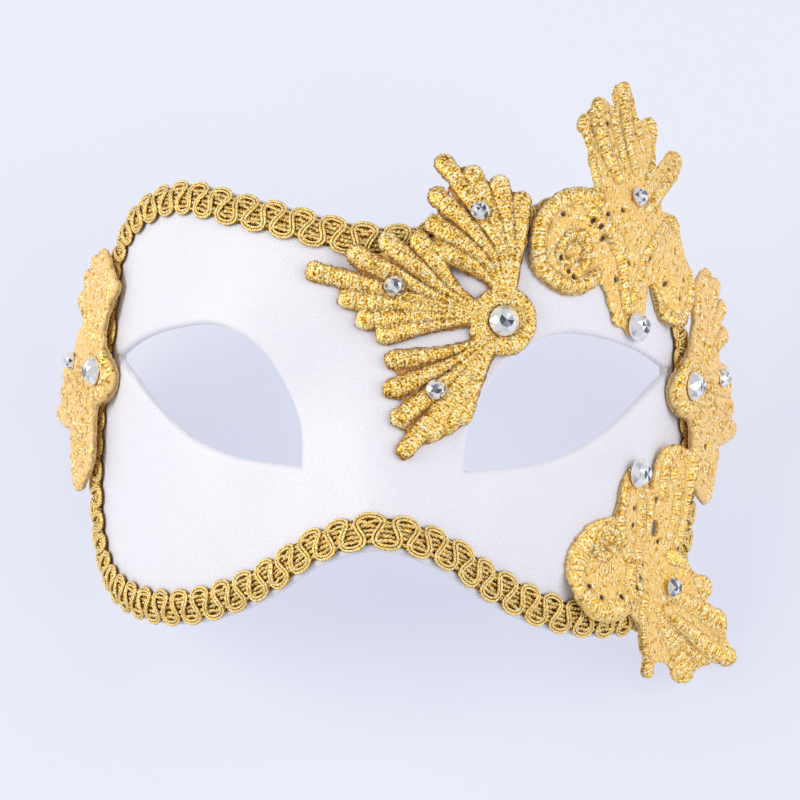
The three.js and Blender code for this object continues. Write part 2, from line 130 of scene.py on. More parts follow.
# Scroll-and-leaf motifs. Bars are start, its radius, end, its radius; leaf tips are place and radius;
# the knot is where stitches pile up, as place and radius; curls are arcs that wind in; cords are
# raised lines of stitches, as points, half widths at both ends, and height; pits are pinholes.
UPPER = dict(
    middle=(43.8, 52.2),
    radius=12.3,
    bars=[
        ((17, 3), 11.5, (20.5, -17.5), 4.4),
        ((8, 0), 3, (14.5, -17), 2.4),
        ((30, 0), 7.5, (37.5, -11.5), 8.2),
        ((17, 8), 10, (12.5, 20), 10.3),
    ],
    leaf_root=(19, 8),
    leaf_tips=[(-0.3, 28.9, 2.6), (4.1, 33.4, 3), (12.1, 38, 3.5), (22.8, 30, 3.6), (37, 21, 4.2)],
    knot=(0.5, -1.5, 6.5),
    strap_stone=(20.3, -19.4),
    leaf_stone=(17.6, 10.3),
    curls=[
        dict(middle=(0, 0), radius=10.2, start=62, turn=250, end=9.8, half=(2.1, 1.7), height=0.9),
        dict(middle=(-1.2, -2.6), radius=5, start=-30, turn=340, end=1.5, half=(1.6, 1.1), height=0.7),
    ],
    cords=[
        ([(2.4, 8.4), (5.4, 4.6), (9.8, 1.8), (14.4, -3.2), (15.5, -8.7), (16.8, -15)], (1.3, 1.2), 0.7),
        ([(19.7, -12.5), (22.8, -5.6), (23.6, -0.9), (31.3, 5.5)], (1.2, 1), 0.5),
        ([(0.1, 28), (1.5, 21.1), (3.2, 14.3), (5.4, 9.5)], (1.8, 1.3), 0.75),
        ([(4.2, 32.3), (5.3, 26.3), (7.7, 20.1), (11, 14.7)], (1.8, 1.1), 0.85),
        ([(12.9, 36.9), (13.7, 30.1), (15, 22.5), (16.9, 16.3)], (1.7, 0.8), 0.7),
        ([(9.3, 33), (10.6, 26), (12.8, 19.5)], (1.2, 0.8), 0.5),
        ([(16.1, 32.9), (18, 27.2), (20, 22.2)], (1.3, 0.8), 0.45),
        ([(24, 29.4), (25.7, 23.8), (23.8, 17.9), (21.6, 14.6)], (1.8, 0.8), 0.6),
        ([(36.8, 20.6), (31.4, 15.1), (25, 10.3), (21.6, 7.7)], (2.2, 1), 0.7),
        (
            [(32.6, 5.8), (40.5, 1.5), (44, -4), (44.3, -10), (42.6, -15.5), (37.6, -18.6), (33, -16),
             (28.4, -11)],
            (1.3, 1.3),
            0.7,
        ),
    ],
    pits=[
        (5.8, 3.1), (3.6, 4.5), (24.6, -3.5), (32.6, -9.4), (12.8, 7.3), (8.2, 6.2), (35, -2), (38, -13),
        (-4.1, 5.8), (-3.7, -3.6), (0.2, -7.7), (-1.2, -6.5), (7.4, 0.8), (13, -8.3), (17.5, -4.4),
        (40, -8.5), (7.8, 27.4), (26, -14.5),
    ],
)
LOWER = dict(
    middle=(56.3, -24.1),
    radius=12.6,
    bars=[
        ((12, 0), 9.5, (10.5, 20), 4.6),
        ((4, 6), 3, (6.8, 19), 2.4),
        ((21.5, 8), 7.5, (25, 22), 6.8),
        ((13, -9), 6, (22, -15), 8.6),
        ((20, 4), 6.5, (22, -6), 8),
        ((16.5, -17), 6, (33, -20), 6.3),
    ],
    leaf_root=(18, -5),
    leaf_tips=[
        (14.4, -27.7, 2.5), (29.2, -30, 3.9), (41.4, -25.8, 2.7), (39, -16.2, 2.9), (35, -7, 3.3),
    ],
    knot=(-1, 5, 5.5),
    strap_stone=(10.2, 22.4),
    leaf_stone=(22, -5.8),
    curls=[
        dict(middle=(0, 0), radius=9.6, start=5, turn=-275, end=9.2, half=(2.6, 2.4), height=0.5),
        dict(middle=(-0.9, 6), radius=4.4, start=0, turn=300, end=2.6, half=(1.4, 1.2), height=0.7),
        dict(middle=(-0.3, 7), radius=1.2, start=0, turn=200, end=0.6, half=(1.3, 1.1), height=0.6),
    ],
    cords=[
        ([(6.2, 19), (4.3, 13), (5, 7), (8, 2)], (1.4, 1.2), 0.6),
        ([(15.2, 19.8), (16.6, 14.4), (15.6, 8)], (1.2, 1), 0.5),
        (
            [(-9, -1), (-6.8, -6.8), (-1, -9), (6, -8), (10, -4), (12.3, 3), (12.8, 10), (12.6, 16)],
            (1.7, 1.4),
            0.45,
        ),
        (
            [(21.4, 17), (22.4, 23.9), (26.5, 27.6), (29.6, 25.6), (30.2, 19), (29.8, 11.5), (27.4, 4.6)],
            (1.2, 1.2),
            0.4,
        ),
        ([(25.2, 21.3), (26.4, 16.9), (25.6, 10.9), (24, 6.4)], (1.1, 0.9), 0.3),
        ([(34.8, -8), (31.5, -2.6), (28.7, 0.2), (25, 1.2)], (2.2, 1.4), 0.6),
        ([(38.6, -16.6), (31.9, -11.9), (25.9, -9.2), (21.8, -7.9)], (2, 1), 0.5),
        ([(41.4, -25.6), (35.5, -22.5), (29.9, -17.9), (23.5, -13.7)], (1.9, 1), 0.55),
        ([(34, -26), (28.6, -21.6), (24, -18)], (1.1, 0.8), 0.5),
        ([(29.4, -29.6), (25.4, -22.2), (21.3, -17.1), (18.3, -11.3)], (2, 1.1), 0.5),
        ([(14.6, -27.4), (12.1, -20.8), (10.9, -16.1), (12, -7)], (1.8, 1.1), 0.6),
    ],
    pits=[
        (10, 13.9), (19, 15.5), (9.6, 9.9), (14.2, 0.2), (9.4, -4.9), (3.2, -6.4), (-3.4, -6),
        (-6.4, -3.3), (27.4, 2.9), (13, -3), (17.8, 12.2), (20.3, 5.2),
    ],
    window=dict(middle=(18.4, 8.6), half=(1.6, 2.1)),
)

# A leaf's lobes at their root and the web between them, and what a scroll's cords are scaled by:
# their width, their height, and the power that makes their dome
LEAF = dict(root=3, web=2.6)
SCROLL_CORD = dict(spread=1.45, rise=1.2, full=1.1)

# Lace in section: the bed of a stone, the ground, the thinnest place and the way in that its edge is
# rounded over; the ragged outline is drawn in a little so that it keeps its size
STONE_BED = 1.2
BED = dict(over=0.1, inner=0.9, round=0.9)
GROUND = dict(thick=0.85, at_edge=0.5)
LACE_THINNEST = 0.25
EDGE_ROUND = 0.9
DRAWN_IN = 0.28

# The lace's unevenness, as layers of height, size and seed, and the grain's strength on each kind
RAGGED_EDGE = ((0.2, 1.8, 23), (0.18, 0.9, 21), (0.15, 0.5, 22))
GROUND_SWELL = ((0.08, 2.6, 33),)
LACE_GRAIN = ((0.15, 1.1, 31), (0.13, 0.62, 32))
CORD_LUMPS = ((0.22, 1.8, 51),)
RIB_SWAY = ((0.35, 1.5, 52),)
LACE_GRIT = dict(centre=0.9, scroll=0.65, temple=0.8)

# Stitches across the cords, pinholes with the span over which they are painted dark as shade, the roughness
# of a knot, how high a place counts as a raised cord, and how far below its surroundings it counts as a
# hollow that gets painted shade, how dark that is at most, and how dark the back is
STITCH_RIB = dict(apart=0.9, height=0.08, full_rise=0.4)
PIT = dict(radius=0.64, depth=0.9, dark=(0.2, 0.6))
KNOT = dict(rough=1.3, raised=0.45)
RAISED = dict(rise=0.8, rough=1.2)
HOLLOW = dict(passes=10, shallow=0.1, deep=0.35, darkest=0.6, back=0.15)
LACE_SHARP = 70

# Stones: common diameters; shares of the diameter for heights and of the radius for rings; how pale
# the painted reflections on the facets of the girdle and of a large stone's crown are at least
STONE_SIZES = dict(large=7.1, small=4.7)
STONE = dict(girdle=0.06, shoulder=0.76, shoulder_height=0.24, height=0.36, table=0.46, table_rim=0.04,
             sides=8)
PALEST = dict(girdle=0.6, large=0.3, small=0)

# How a stone's seat is found: degrees between the places where the lace under it is felt, on rings
# that are shares of its radius
SEAT = dict(step=30, rings=(0.5, 1, 1.3))

# The lying pose, as in the frame: the brow raised about X, the right side lowered about Y
LIE = dict(brow_up=21, right_down=0.4)

# The grids that sheets are cut from: their steps, the part of the flat face they cover, and how near
# the outline a corner slides onto it, as a share of a step. Slopes are measured over small nudges.
STEPS = dict(satin=0.95, shell=1.7, lace=0.25)
FACE_BOX = ((-104, -45), (104, 69))
SNAP_SHARE = 0.3
NUDGE = dict(face=0.05, outline=0.02, rim=0.5)

# The steps between two given points of a smooth line, and an arc's degrees a point and fewest points
LINE_STEPS = dict(rim=6, eye=5, braid=40, cord=4)
ARC = dict(step=12, fewest=8)


# The face, laid flat and bent

def smoothstep(value, low, high):
    """The cubic ease from 0 at low to 1 at high."""
    share = np.clip((value - low) / (high - low), 0, 1)
    return share * share * (3 - 2 * share)


def trace_cheek():
    """Side view of the cheek: steps of equal length whose turn eases from 0 to its full angle."""
    u = np.arange(CHEEK["step"] / 2, CHEEK["end"], CHEEK["step"])
    turn = np.radians(CHEEK["turn"]) * smoothstep(u, 0, CHEEK["reach"])
    x = np.concatenate([[0], np.cumsum(np.cos(turn))]) * CHEEK["step"]
    z = -np.concatenate([[0], np.cumsum(np.sin(turn))]) * CHEEK["step"]
    return np.arange(len(x)) * CHEEK["step"], x, z


CHEEK_TRACE = trace_cheek()


def face_point(u, v):
    """The satin's face: the cheek trace, a bell-shaped nose that grows downward, parabolic leans
    of the brow and the lower cheek, and a bell-shaped dip at each eye."""
    across = np.abs(u)
    x = np.sign(u) * np.interp(across, CHEEK_TRACE[0], CHEEK_TRACE[1])
    z = np.interp(across, CHEEK_TRACE[0], CHEEK_TRACE[2])
    droop = np.clip((NOSE["top"] - v) / (NOSE["top"] - NOSE["low"]), 0, NOSE["overrun"])
    nose_side = across / (NOSE["half_width"] * (NOSE["waist"] + NOSE["flare"] * droop))
    z = z + NOSE["height"] * droop ** NOSE["growth"] * np.exp(-nose_side ** 2)
    z = z - BROW_LEAN["rate"] * np.maximum(v - BROW_LEAN["start"], 0) ** 2
    z = z - CHEEK_LEAN["rate"] * np.maximum(CHEEK_LEAN["start"] - v, 0) ** 2
    side = (across - SOCKET["u"]) / SOCKET["half_width"]
    up = (v - SOCKET["v"]) / SOCKET["half_height"]
    z = z - SOCKET["depth"] * np.exp(-side ** 2 - up ** 2)
    return np.stack([x, v + 0 * x, z], -1)


def face_slopes(u, v):
    """The face's slopes along u and v, by differences over a small nudge."""
    nudge = NUDGE["face"]
    slope_u = (face_point(u + nudge, v) - face_point(u - nudge, v)) / (2 * nudge)
    slope_v = (face_point(u, v + nudge) - face_point(u, v - nudge)) / (2 * nudge)
    return slope_u, slope_v


def face_normal(u, v):
    """The cross product of the face's slopes, one unit long."""
    normal = np.cross(*face_slopes(u, v))
    return normal / np.linalg.norm(normal, axis=-1, keepdims=True)


def lay(u, v, height):
    """A flat place, carried onto the face and raised along its normal."""
    return face_point(u, v) + face_normal(u, v) * np.asarray(height)[..., None]


# Outlines, as distances that are positive inside

def smooth_line(points, steps):
    """A Catmull-Rom curve through the points, with the given steps between each two."""
    points = np.asarray(points, float)
    padded = np.vstack([points[:1], points, points[-1:]])
    share = (np.arange(steps) / steps)[None, :, None]
    before, start, end, after = (padded[k:len(points) - 1 + k, None] for k in range(4))
    out_slope = (end - before) / 2
    in_slope = (after - start) / 2
    curve = (2 * start - 2 * end + out_slope + in_slope) * share ** 3
    curve = curve + (3 * end - 3 * start - 2 * out_slope - in_slope) * share ** 2
    curve = curve + out_slope * share + start
    return np.vstack([curve.reshape(-1, 2), points[-1:]])


def rim_outline(steps):
    """The right half of the rim, mirrored, as one closed smooth curve."""
    right = np.array(RIM_HALF, float)
    ring = np.vstack([right, right[1:-1][::-1] * [-1, 1]])
    line = smooth_line(np.vstack([ring[-1:], ring, ring[:2]]), steps)
    return line[steps:steps * (len(ring) + 1)]


def eye_outline(side, steps):
    """The upper and lower lid curves of one eye, joined at its corners."""
    lids = [smooth_line(lid, steps)[:-1] for lid in (UPPER_LID, LOWER_LID)]
    return np.vstack(lids) * [side, 1]


def outline_reach(outline):
    """Distance to the nearest side of a closed outline, with its sign by how many sides a line
    to the left crosses."""
    start = np.roll(outline, 1, axis=0)
    side = outline - start
    length = (side ** 2).sum(1)
    rise = np.where(side[:, 1] == 0, 1, side[:, 1])

    def reach(u, v):
        u, v = u[:, None], v[:, None]
        along = np.clip(((u - start[:, 0]) * side[:, 0] + (v - start[:, 1]) * side[:, 1]) / length, 0, 1)
        away = np.hypot(u - start[:, 0] - along * side[:, 0], v - start[:, 1] - along * side[:, 1]).min(1)
        spans = (start[:, 1] > v) != (outline[:, 1] > v)
        crossed = spans & (u < side[:, 0] * (v - start[:, 1]) / rise + start[:, 0])
        return np.where(crossed.sum(1) % 2 == 1, away, -away)

    return reach


def bar_share(u, v, start, end):
    """How far along a straight bar each place lies, from 0 to 1, and its distance from the bar."""
    du, dv = end[0] - start[0], end[1] - start[1]
    length = max(du * du + dv * dv, 1e-9)
    along = np.clip(((u - start[0]) * du + (v - start[1]) * dv) / length, 0, 1)
    return along, np.hypot(u - start[0] - along * du, v - start[1] - along * dv)


def soft_max(a, b, web):
    """The greater of two distances, filled out by up to a quarter of web where they are alike."""
    alike = np.maximum(web - np.abs(a - b), 0) / web
    return np.maximum(a, b) + alike ** 2 * web / 4


# A distance that counts as outside every limb
FAR_OUT = 40.0


def limbs_reach(groups, web):
    """Distance into groups of limbs, webbed together within a group. A limb is a chain of rounded
    bars, each with its start, end and both radii."""
    def reach(u, v):
        best = np.full(u.shape, -FAR_OUT)
        for limbs in groups:
            webbed = np.full(u.shape, -FAR_OUT)
            for limb in limbs:
                nearest = np.full(u.shape, -np.inf)
                for start, end, start_radius, end_radius in limb:
                    along, away = bar_share(u, v, start, end)
                    nearest = np.maximum(nearest, start_radius + (end_radius - start_radius) * along - away)
                webbed = soft_max(webbed, nearest, web)
            best = np.maximum(best, webbed)
        return best
    return reach


RIM_REACH = outline_reach(rim_outline(LINE_STEPS["rim"]))
EYE_REACHES = [outline_reach(eye_outline(side, LINE_STEPS["eye"])) for side in (1, -1)]


def cover_reach(u, v):
    """Distance into the satin: inside the rim and outside both eyes."""
    return np.minimum(RIM_REACH(u, v), -np.maximum(EYE_REACHES[0](u, v), EYE_REACHES[1](u, v)))


# Lace outlines

def turned(place, degrees, length):
    """A place moved by a length in a direction."""
    return (place[0] + np.cos(np.radians(degrees)) * length, place[1] + np.sin(np.radians(degrees)) * length)


def fan_lobes(ring, fan):
    """The lobes' middle lines, each a quadratic curve that leaves the ring along the fan's axis
    and bends to its tip, and the half width at the tip."""
    root = turned(ring, fan["axis"], FAN_ROOT)
    neck = fan.get("neck", fan["axis"])
    count = LOBE["each_side"]
    share = np.linspace(0, 1, LOBE["points"])[:, None]
    lobes = []
    for i in range(-count, count + 1):
        beside, outer, spread = fan["left"] if i > 0 else fan["right"]
        angle = fan["axis"] + np.sign(i) * spread * (abs(i) / count) ** LOBE["spacing"]
        length = fan["long"] if i == 0 else beside + (outer - beside) * (abs(i) - 1) / (count - 1)
        tip = LOBE["long_tip"] if i == 0 else LOBE["tip"]
        aside = fan.get("aside", 0) + fan.get("wide", LOBE["neck"]) * i / count
        turn_at = LOBE["bend"] * (1 - LOBE["early"] * abs(i) / count)
        start, bend = (np.array(turned(turned(ring, neck, out), neck + 90, aside))
                       for out in (LOBE["start"], turn_at))
        end = np.array(turned(root, angle, length - tip))
        lobes.append(((1 - share) ** 2 * start + 2 * share * (1 - share) * bend + share ** 2 * end, tip))
    return lobes


def fan_limbs(ring, fans):
    """The ring's disc, and a group of limbs for each of its fans, one to a lobe."""
    groups = [[[(ring, ring, RING_RADIUS, RING_RADIUS)]]]
    for fan in fans:
        groups.append([chain(line, LOBE["root"], tip) for line, tip in fan_lobes(ring, fan)])
    return groups


def temple_limbs(fans):
    """The ring and its fans' limbs with a disc behind the ring, all in one group."""
    limbs = [limb for group in fan_limbs(TEMPLE_RING, fans) for limb in group]
    middle = turned(TEMPLE_RING, TEMPLE_BODY["direction"], TEMPLE_BODY["distance"])
    limbs.append([(middle, middle, TEMPLE_BODY["radius"], TEMPLE_BODY["radius"])])
    return [limbs]


def chain(line, start_radius, end_radius):
    """Bars along a line, whose radii change evenly from its start to its end."""
    radii = np.linspace(start_radius, end_radius, len(line))
    return [(line[i], line[i + 1], radii[i], radii[i + 1]) for i in range(len(line) - 1)]


def from_middle(motif, place):
    """A place of a scroll motif in face coordinates."""
    return (motif["middle"][0] + place[0], motif["middle"][1] + place[1])


def scroll_limbs(motif):
    """The scroll's disc, the bars and one tapered bar for each leaf tip."""
    limbs = [[(motif["middle"], motif["middle"], motif["radius"], motif["radius"])]]
    for start, start_radius, end, end_radius in motif["bars"]:
        limbs.append([(from_middle(motif, start), from_middle(motif, end), start_radius, end_radius)])
    root = np.array(motif["leaf_root"], float)
    for u, v, radius in motif["leaf_tips"]:
        reach = np.array([u, v]) - root
        end = root + reach * (1 - radius / np.hypot(*reach))
        limbs.append([(from_middle(motif, root), from_middle(motif, end), LEAF["root"], radius)])
    return [limbs]


def lift_at(u, v):
    """The full height over the braid, easing to none further in."""
    return LIFT["height"] * (1 - smoothstep(RIM_REACH(u, v), LIFT["full"], LIFT["none"]))


def lay_lace(u, v, height, flared):
    """A place on the lace: over the satin and the braid, and standing off the steep lower cheek."""
    past = np.clip(np.abs(u) - LOWER_FLARE["start"], 0, LOWER_FLARE["reach"])
    off = LOWER_FLARE["rate"] * past ** 2 if flared else 0
    return lay(u, v, GAP + lift_at(u, v) + off + height)


# The lying pose, and meshes in the frame

def lying_turn():
    """A turn about X that raises the brow, followed by one about Y that lowers the right side."""
    a, b = np.radians([LIE["brow_up"], LIE["right_down"]])
    raise_brow = np.array([[1, 0, 0], [0, np.cos(a), -np.sin(a)], [0, np.sin(a), np.cos(a)]])
    lower_side = np.array([[np.cos(b), 0, np.sin(b)], [0, 1, 0], [-np.sin(b), 0, np.cos(b)]])
    return lower_side @ raise_brow


def towards(normal):
    """The smallest turn that carries +Z onto a normal."""
    across = np.cross([0, 0, 1], normal)
    cross = np.array([[0, -across[2], across[1]], [across[2], 0, -across[0]], [-across[1], across[0], 0]])
    return np.eye(3) + cross + cross @ cross / (1 + normal[2])


def stone_seat(spot, radius, flared):
    """Where a stone's flat back rests and which way it faces: over the lace under its middle,
    raised to clear the highest lace under and round it."""
    def top(u, v):
        return lay_lace(np.atleast_1d(u), np.atleast_1d(v), STONE_BED, flared)

    u, v = spot
    seat = top(u, v)[0]
    along_u = top(u + radius, v) - top(u - radius, v)
    along_v = top(u, v + radius) - top(u, v - radius)
    normal = np.cross(along_u[0], along_v[0])
    normal = normal / np.linalg.norm(normal)
    turns = np.radians(np.arange(0, 360, SEAT["step"]))[:, None]
    out = radius * np.array(SEAT["rings"])
    edge = top((u + np.cos(turns) * out).ravel(), (v + np.sin(turns) * out).ravel())
    rise = max(((edge - seat) @ normal).max(), 0)
    return seat + normal * (rise + GAP), normal


def lying_shift():
    """The frame's own shift of the turned mask, from the box of one stone worked out here too."""
    radius = STONE_SIZES["large"] / 2
    seat, normal = stone_seat(CENTRE_RING, radius, False)
    turns = np.arange(STONE["sides"]) * 2 * np.pi / STONE["sides"]
    rings = [
        (radius, 0),
        (radius, 2 * radius * STONE["girdle"]),
        (radius * STONE["table"], 2 * radius * STONE["height"]),
    ]
    corners = np.vstack([
        np.stack([np.sin(turns) * r, -np.cos(turns) * r, np.full(turns.shape, h)], -1) for r, h in rings
    ])
    placed = (corners @ towards(normal).T + seat) @ TURN.T
    low, high = (np.array(corner) * 1000 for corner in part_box("rhinestone_centre_ring"))
    return (low + high) / 2 - (placed.min(0) + placed.max(0)) / 2


TURN = lying_turn()
SHIFT = lying_shift()


def make_piece(name, points, faces, material, replaced, uv=None, layers=None, sharp=None):
    """A mesh of whole arrays: points on the worn mask are turned and shifted to lie in the frame."""
    mesh = bpy.data.meshes.new(name)
    places = (points @ TURN.T + SHIFT) / 1000
    mesh.vertices.add(len(places))
    mesh.vertices.foreach_set("co", places.astype(np.float32).ravel())
    mesh.loops.add(faces.size)
    mesh.loops.foreach_set("vertex_index", faces.astype(np.int32).ravel())
    mesh.polygons.add(len(faces))
    mesh.polygons.foreach_set("loop_start", np.arange(0, faces.size, faces.shape[1], dtype=np.int32))
    for layer, values in (layers or {}).items():
        mesh.attributes.new(layer, "FLOAT", "POINT").data.foreach_set("value", values.astype(np.float32))
    if uv is not None:
        corners = uv[faces.ravel()].astype(np.float32)
        mesh.uv_layers.new(name="thread").data.foreach_set("uv", corners.ravel())
    mesh.update(calc_edges=True)
    mesh.shade_smooth()
    if sharp is not None:
        mesh.set_sharp_from_angle(angle=np.radians(sharp))
    piece = bpy.data.objects.new(name, mesh)
    bpy.context.collection.objects.link(piece)
    mesh.materials.append(material)
    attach(piece, "root")
    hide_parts(*replaced)
    return piece


# Random but repeatable unevenness: a square net of values, turned by another angle for each seed

NET = 128
NET_TURN = 0.7


def grain(u, v, size, seed):
    """Smooth random heights from -1 to 1: a net of random values, blended by the cubic ease."""
    net = np.random.default_rng(seed).uniform(-1, 1, (NET, NET))
    turn = seed * NET_TURN
    a = (u * np.cos(turn) - v * np.sin(turn)) / size
    b = (u * np.sin(turn) + v * np.cos(turn)) / size
    i, j = np.floor(a).astype(int), np.floor(b).astype(int)
    p, q = smoothstep(a - i, 0, 1), smoothstep(b - j, 0, 1)
    low = net[i % NET, j % NET] * (1 - p) + net[(i + 1) % NET, j % NET] * p
    high = net[i % NET, (j + 1) % NET] * (1 - p) + net[(i + 1) % NET, (j + 1) % NET] * p
    return low * (1 - q) + high * q


def layered(u, v, layers, row=0):
    """The sum of some grains, each given as its height, size and seed, with other seeds for
    other rows."""
    return sum(height * grain(u, v, size, seed + row) for height, size, seed in layers)


# Sheets cut out of a flat grid

# Corners slide by a few steps, each divided by a squared slope that isn't taken as less than the
# least one, and sides of the grid that cross the outline are halved many times
NEWTON_STEPS = 3
LEAST_SLOPE = 0.25
HALVINGS = 18


def reach_slope(u, v, reach):
    """The slope of reach, by differences over a small nudge."""
    nudge = NUDGE["outline"]
    slope_u = (reach(u + nudge, v) - reach(u - nudge, v)) / (2 * nudge)
    slope_v = (reach(u, v + nudge) - reach(u, v - nudge)) / (2 * nudge)
    return slope_u, slope_v


def slide_to_edge(u, v, reach):
    """Newton steps down the slope of reach to where it is zero."""
    for _ in range(NEWTON_STEPS):
        slope_u, slope_v = reach_slope(u, v, reach)
        step = reach(u, v) / np.maximum(slope_u ** 2 + slope_v ** 2, LEAST_SLOPE)
        u, v = u - step * slope_u, v - step * slope_v
    return u, v


def halve_to_edge(inner, outer, reach):
    """The zero of reach between inner and outer places, by repeated halving."""
    for _ in range(HALVINGS):
        middle = (inner + outer) / 2
        inside = (reach(middle[:, 0], middle[:, 1]) > 0)[:, None]
        inner, outer = np.where(inside, middle, inner), np.where(inside, outer, middle)
    return inner


def cut_patch(reach, low, high, step):
    """Flat triangles that cover where reach is positive. Grid corners near the outline slide onto
    it, and a triangle across the outline keeps its inner part."""
    grid_u = np.arange(low[0], high[0] + step, step)
    grid_v = np.arange(low[1], high[1] + step, step)
    u, v = (grid.ravel() for grid in np.meshgrid(grid_u, grid_v))
    value = reach(u, v)
    near = np.abs(value) < step * SNAP_SHARE
    u[near], v[near] = slide_to_edge(u[near], v[near], reach)
    value[near] = 0
    columns = len(grid_u)
    a = (np.arange(len(grid_v) - 1)[:, None] * columns + np.arange(columns - 1)).ravel()
    b, c, d = a + 1, a + columns + 1, a + columns
    odd = ((a // columns + a % columns) % 2 == 1)[:, None]
    first = np.where(odd, np.stack([a, b, c], 1), np.stack([a, b, d], 1))
    second = np.where(odd, np.stack([a, c, d], 1), np.stack([b, c, d], 1))
    triangles = np.vstack([first, second])
    signs = np.sign(value)[triangles]
    whole = triangles[(signs >= 0).all(1) & (signs > 0).any(1)]
    on_edge = triangles[(signs == 0).all(1)]
    on_edge = on_edge[reach(u[on_edge].mean(1), v[on_edge].mean(1)) > 0]
    mixed = triangles[(signs > 0).any(1) & (signs < 0).any(1)]
    following = np.roll(mixed, -1, axis=1)
    crossing = value[mixed] * value[following] < 0
    pairs = np.sort(np.stack([mixed, following], -1)[crossing], axis=1)
    pairs, back = np.unique(pairs, axis=0, return_inverse=True)
    places = np.stack([u, v], 1)
    inner = np.where(value[pairs[:, :1]] > 0, places[pairs[:, 0]], places[pairs[:, 1]])
    outer = np.where(value[pairs[:, :1]] > 0, places[pairs[:, 1]], places[pairs[:, 0]])
    places = np.vstack([places, halve_to_edge(inner, outer, reach)])
    cuts = np.full(mixed.shape, -1)
    cuts[crossing] = len(u) + back.ravel()
    slots = np.stack([np.where(value[mixed] >= 0, mixed, -1), cuts], -1).reshape(-1, 6)
    kept = np.take_along_axis(slots, np.argsort(slots < 0, axis=1, kind="stable"), 1)
    quads = kept[kept[:, 3] >= 0]
    triangles = largest_patch(np.vstack([whole, on_edge, kept[:, :3], quads[:, [0, 2, 3]]]), len(places))
    triangles = without_pinches(triangles, len(places))
    used, triangles = np.unique(triangles, return_inverse=True)
    return places[used, 0], places[used, 1], triangles.reshape(-1, 3)


def largest_patch(triangles, count):
    """The largest set of joined triangles: the lowest corner number spreads until it settles."""
    label = np.arange(count)
    while True:
        lowest = label.copy()
        np.minimum.at(lowest, triangles.ravel(), np.repeat(label[triangles].min(1), 3))
        lowest = lowest[lowest]
        if (lowest == label).all():
            break
        label = lowest
    group = label[triangles[:, 0]]
    return triangles[group == np.bincount(group).argmax()]


def without_pinches(triangles, count):
    """Drops the triangles round each corner where the outline meets itself, until none is left."""
    while True:
        ends = np.bincount(open_sides(triangles).ravel(), minlength=count)
        pinched = (ends > 2)[triangles].any(1)
        if not pinched.any():
            return triangles
        triangles = largest_patch(triangles[~pinched], count)


def open_sides(triangles):
    """The directed sides that belong to only one triangle."""
    sides = np.concatenate([triangles[:, [0, 1]], triangles[:, [1, 2]], triangles[:, [2, 0]]])
    _, first, count = np.unique(np.sort(sides, axis=1), axis=0, return_index=True, return_counts=True)
    return sides[first[count == 1]]


def wall(sides, outer, inner):
    """Two triangles from each side of one row of corners to the next row. outer and inner give
    each corner's number in the two rows."""
    a, b = sides[:, 0], sides[:, 1]
    return np.vstack([
        np.stack([outer[b], outer[a], inner[a]], 1),
        np.stack([outer[b], inner[a], inner[b]], 1),
    ])


def close_sheet(triangles, count):
    """A top face, the same face turned over below it, and a wall round them."""
    top = np.arange(count)
    edge = wall(open_sides(triangles), top, top + count)
    return np.vstack([triangles, triangles[:, ::-1] + count, edge])


def hollowness(height, triangles, passes):
    """How far each place lies below the mean of the places round it."""
    sides = np.concatenate([triangles[:, [0, 1]], triangles[:, [1, 2]], triangles[:, [2, 0]]])
    a = np.concatenate([sides[:, 0], sides[:, 1]])
    b = np.concatenate([sides[:, 1], sides[:, 0]])
    number = np.maximum(np.bincount(a, minlength=len(height)), 1)
    mean = height
    for _ in range(passes):
        mean = np.bincount(a, weights=mean[b], minlength=len(height)) / number
    return mean - height


# Materials

# The scale at which a wave texture's stripes lie 1 mm apart
WAVE_SCALE = 0.314


def linear(colour):
    """An sRGB hex colour as linear red, green, blue and alpha."""
    parts = [int(colour[k:k + 2], 16) / 255 for k in (1, 3, 5)]
    return (*(p / 12.92 if p <= 0.04045 else ((p + 0.055) / 1.055) ** 2.4 for p in parts), 1)


def add(material, kind, sockets=None, stops=(), **settings):
    """A node with its settings, its sockets set to values or joined to other nodes' outputs, and the
    places and colours of its ramp."""
    tree = material.node_tree
    made = tree.nodes.new(kind)
    for name, value in settings.items():
        setattr(made, name, value)
    for name, value in (sockets or {}).items():
        if isinstance(value, bpy.types.NodeSocket):
            tree.links.new(value, made.inputs[name])
        else:
            made.inputs[name].default_value = value
    if stops:
        elements = made.color_ramp.elements
        while len(elements) < len(stops):
            elements.new(1.0)
        for element, (place, colour) in zip(elements, stops):
            element.position = place
            element.color = linear(colour)
    return made


def new_material(name):
    """A material with an empty node tree."""
    material = bpy.data.materials.new(name)
    material.use_nodes = True
    material.node_tree.nodes.clear()
    return material


def finish_material(material, sockets, height=None, depth=0.0):
    """The surface shader, with a bump of the given depth in millimetres."""
    if height is not None:
        bump = add(material, "ShaderNodeBump", {"Height": height, "Distance": depth / 1000, "Strength": 1.0})
        sockets = {**sockets, "Normal": bump.outputs["Normal"]}
    shader = add(material, "ShaderNodeBsdfPrincipled", sockets)
    add(material, "ShaderNodeOutputMaterial", {"Surface": shader.outputs["BSDF"]})
    return material


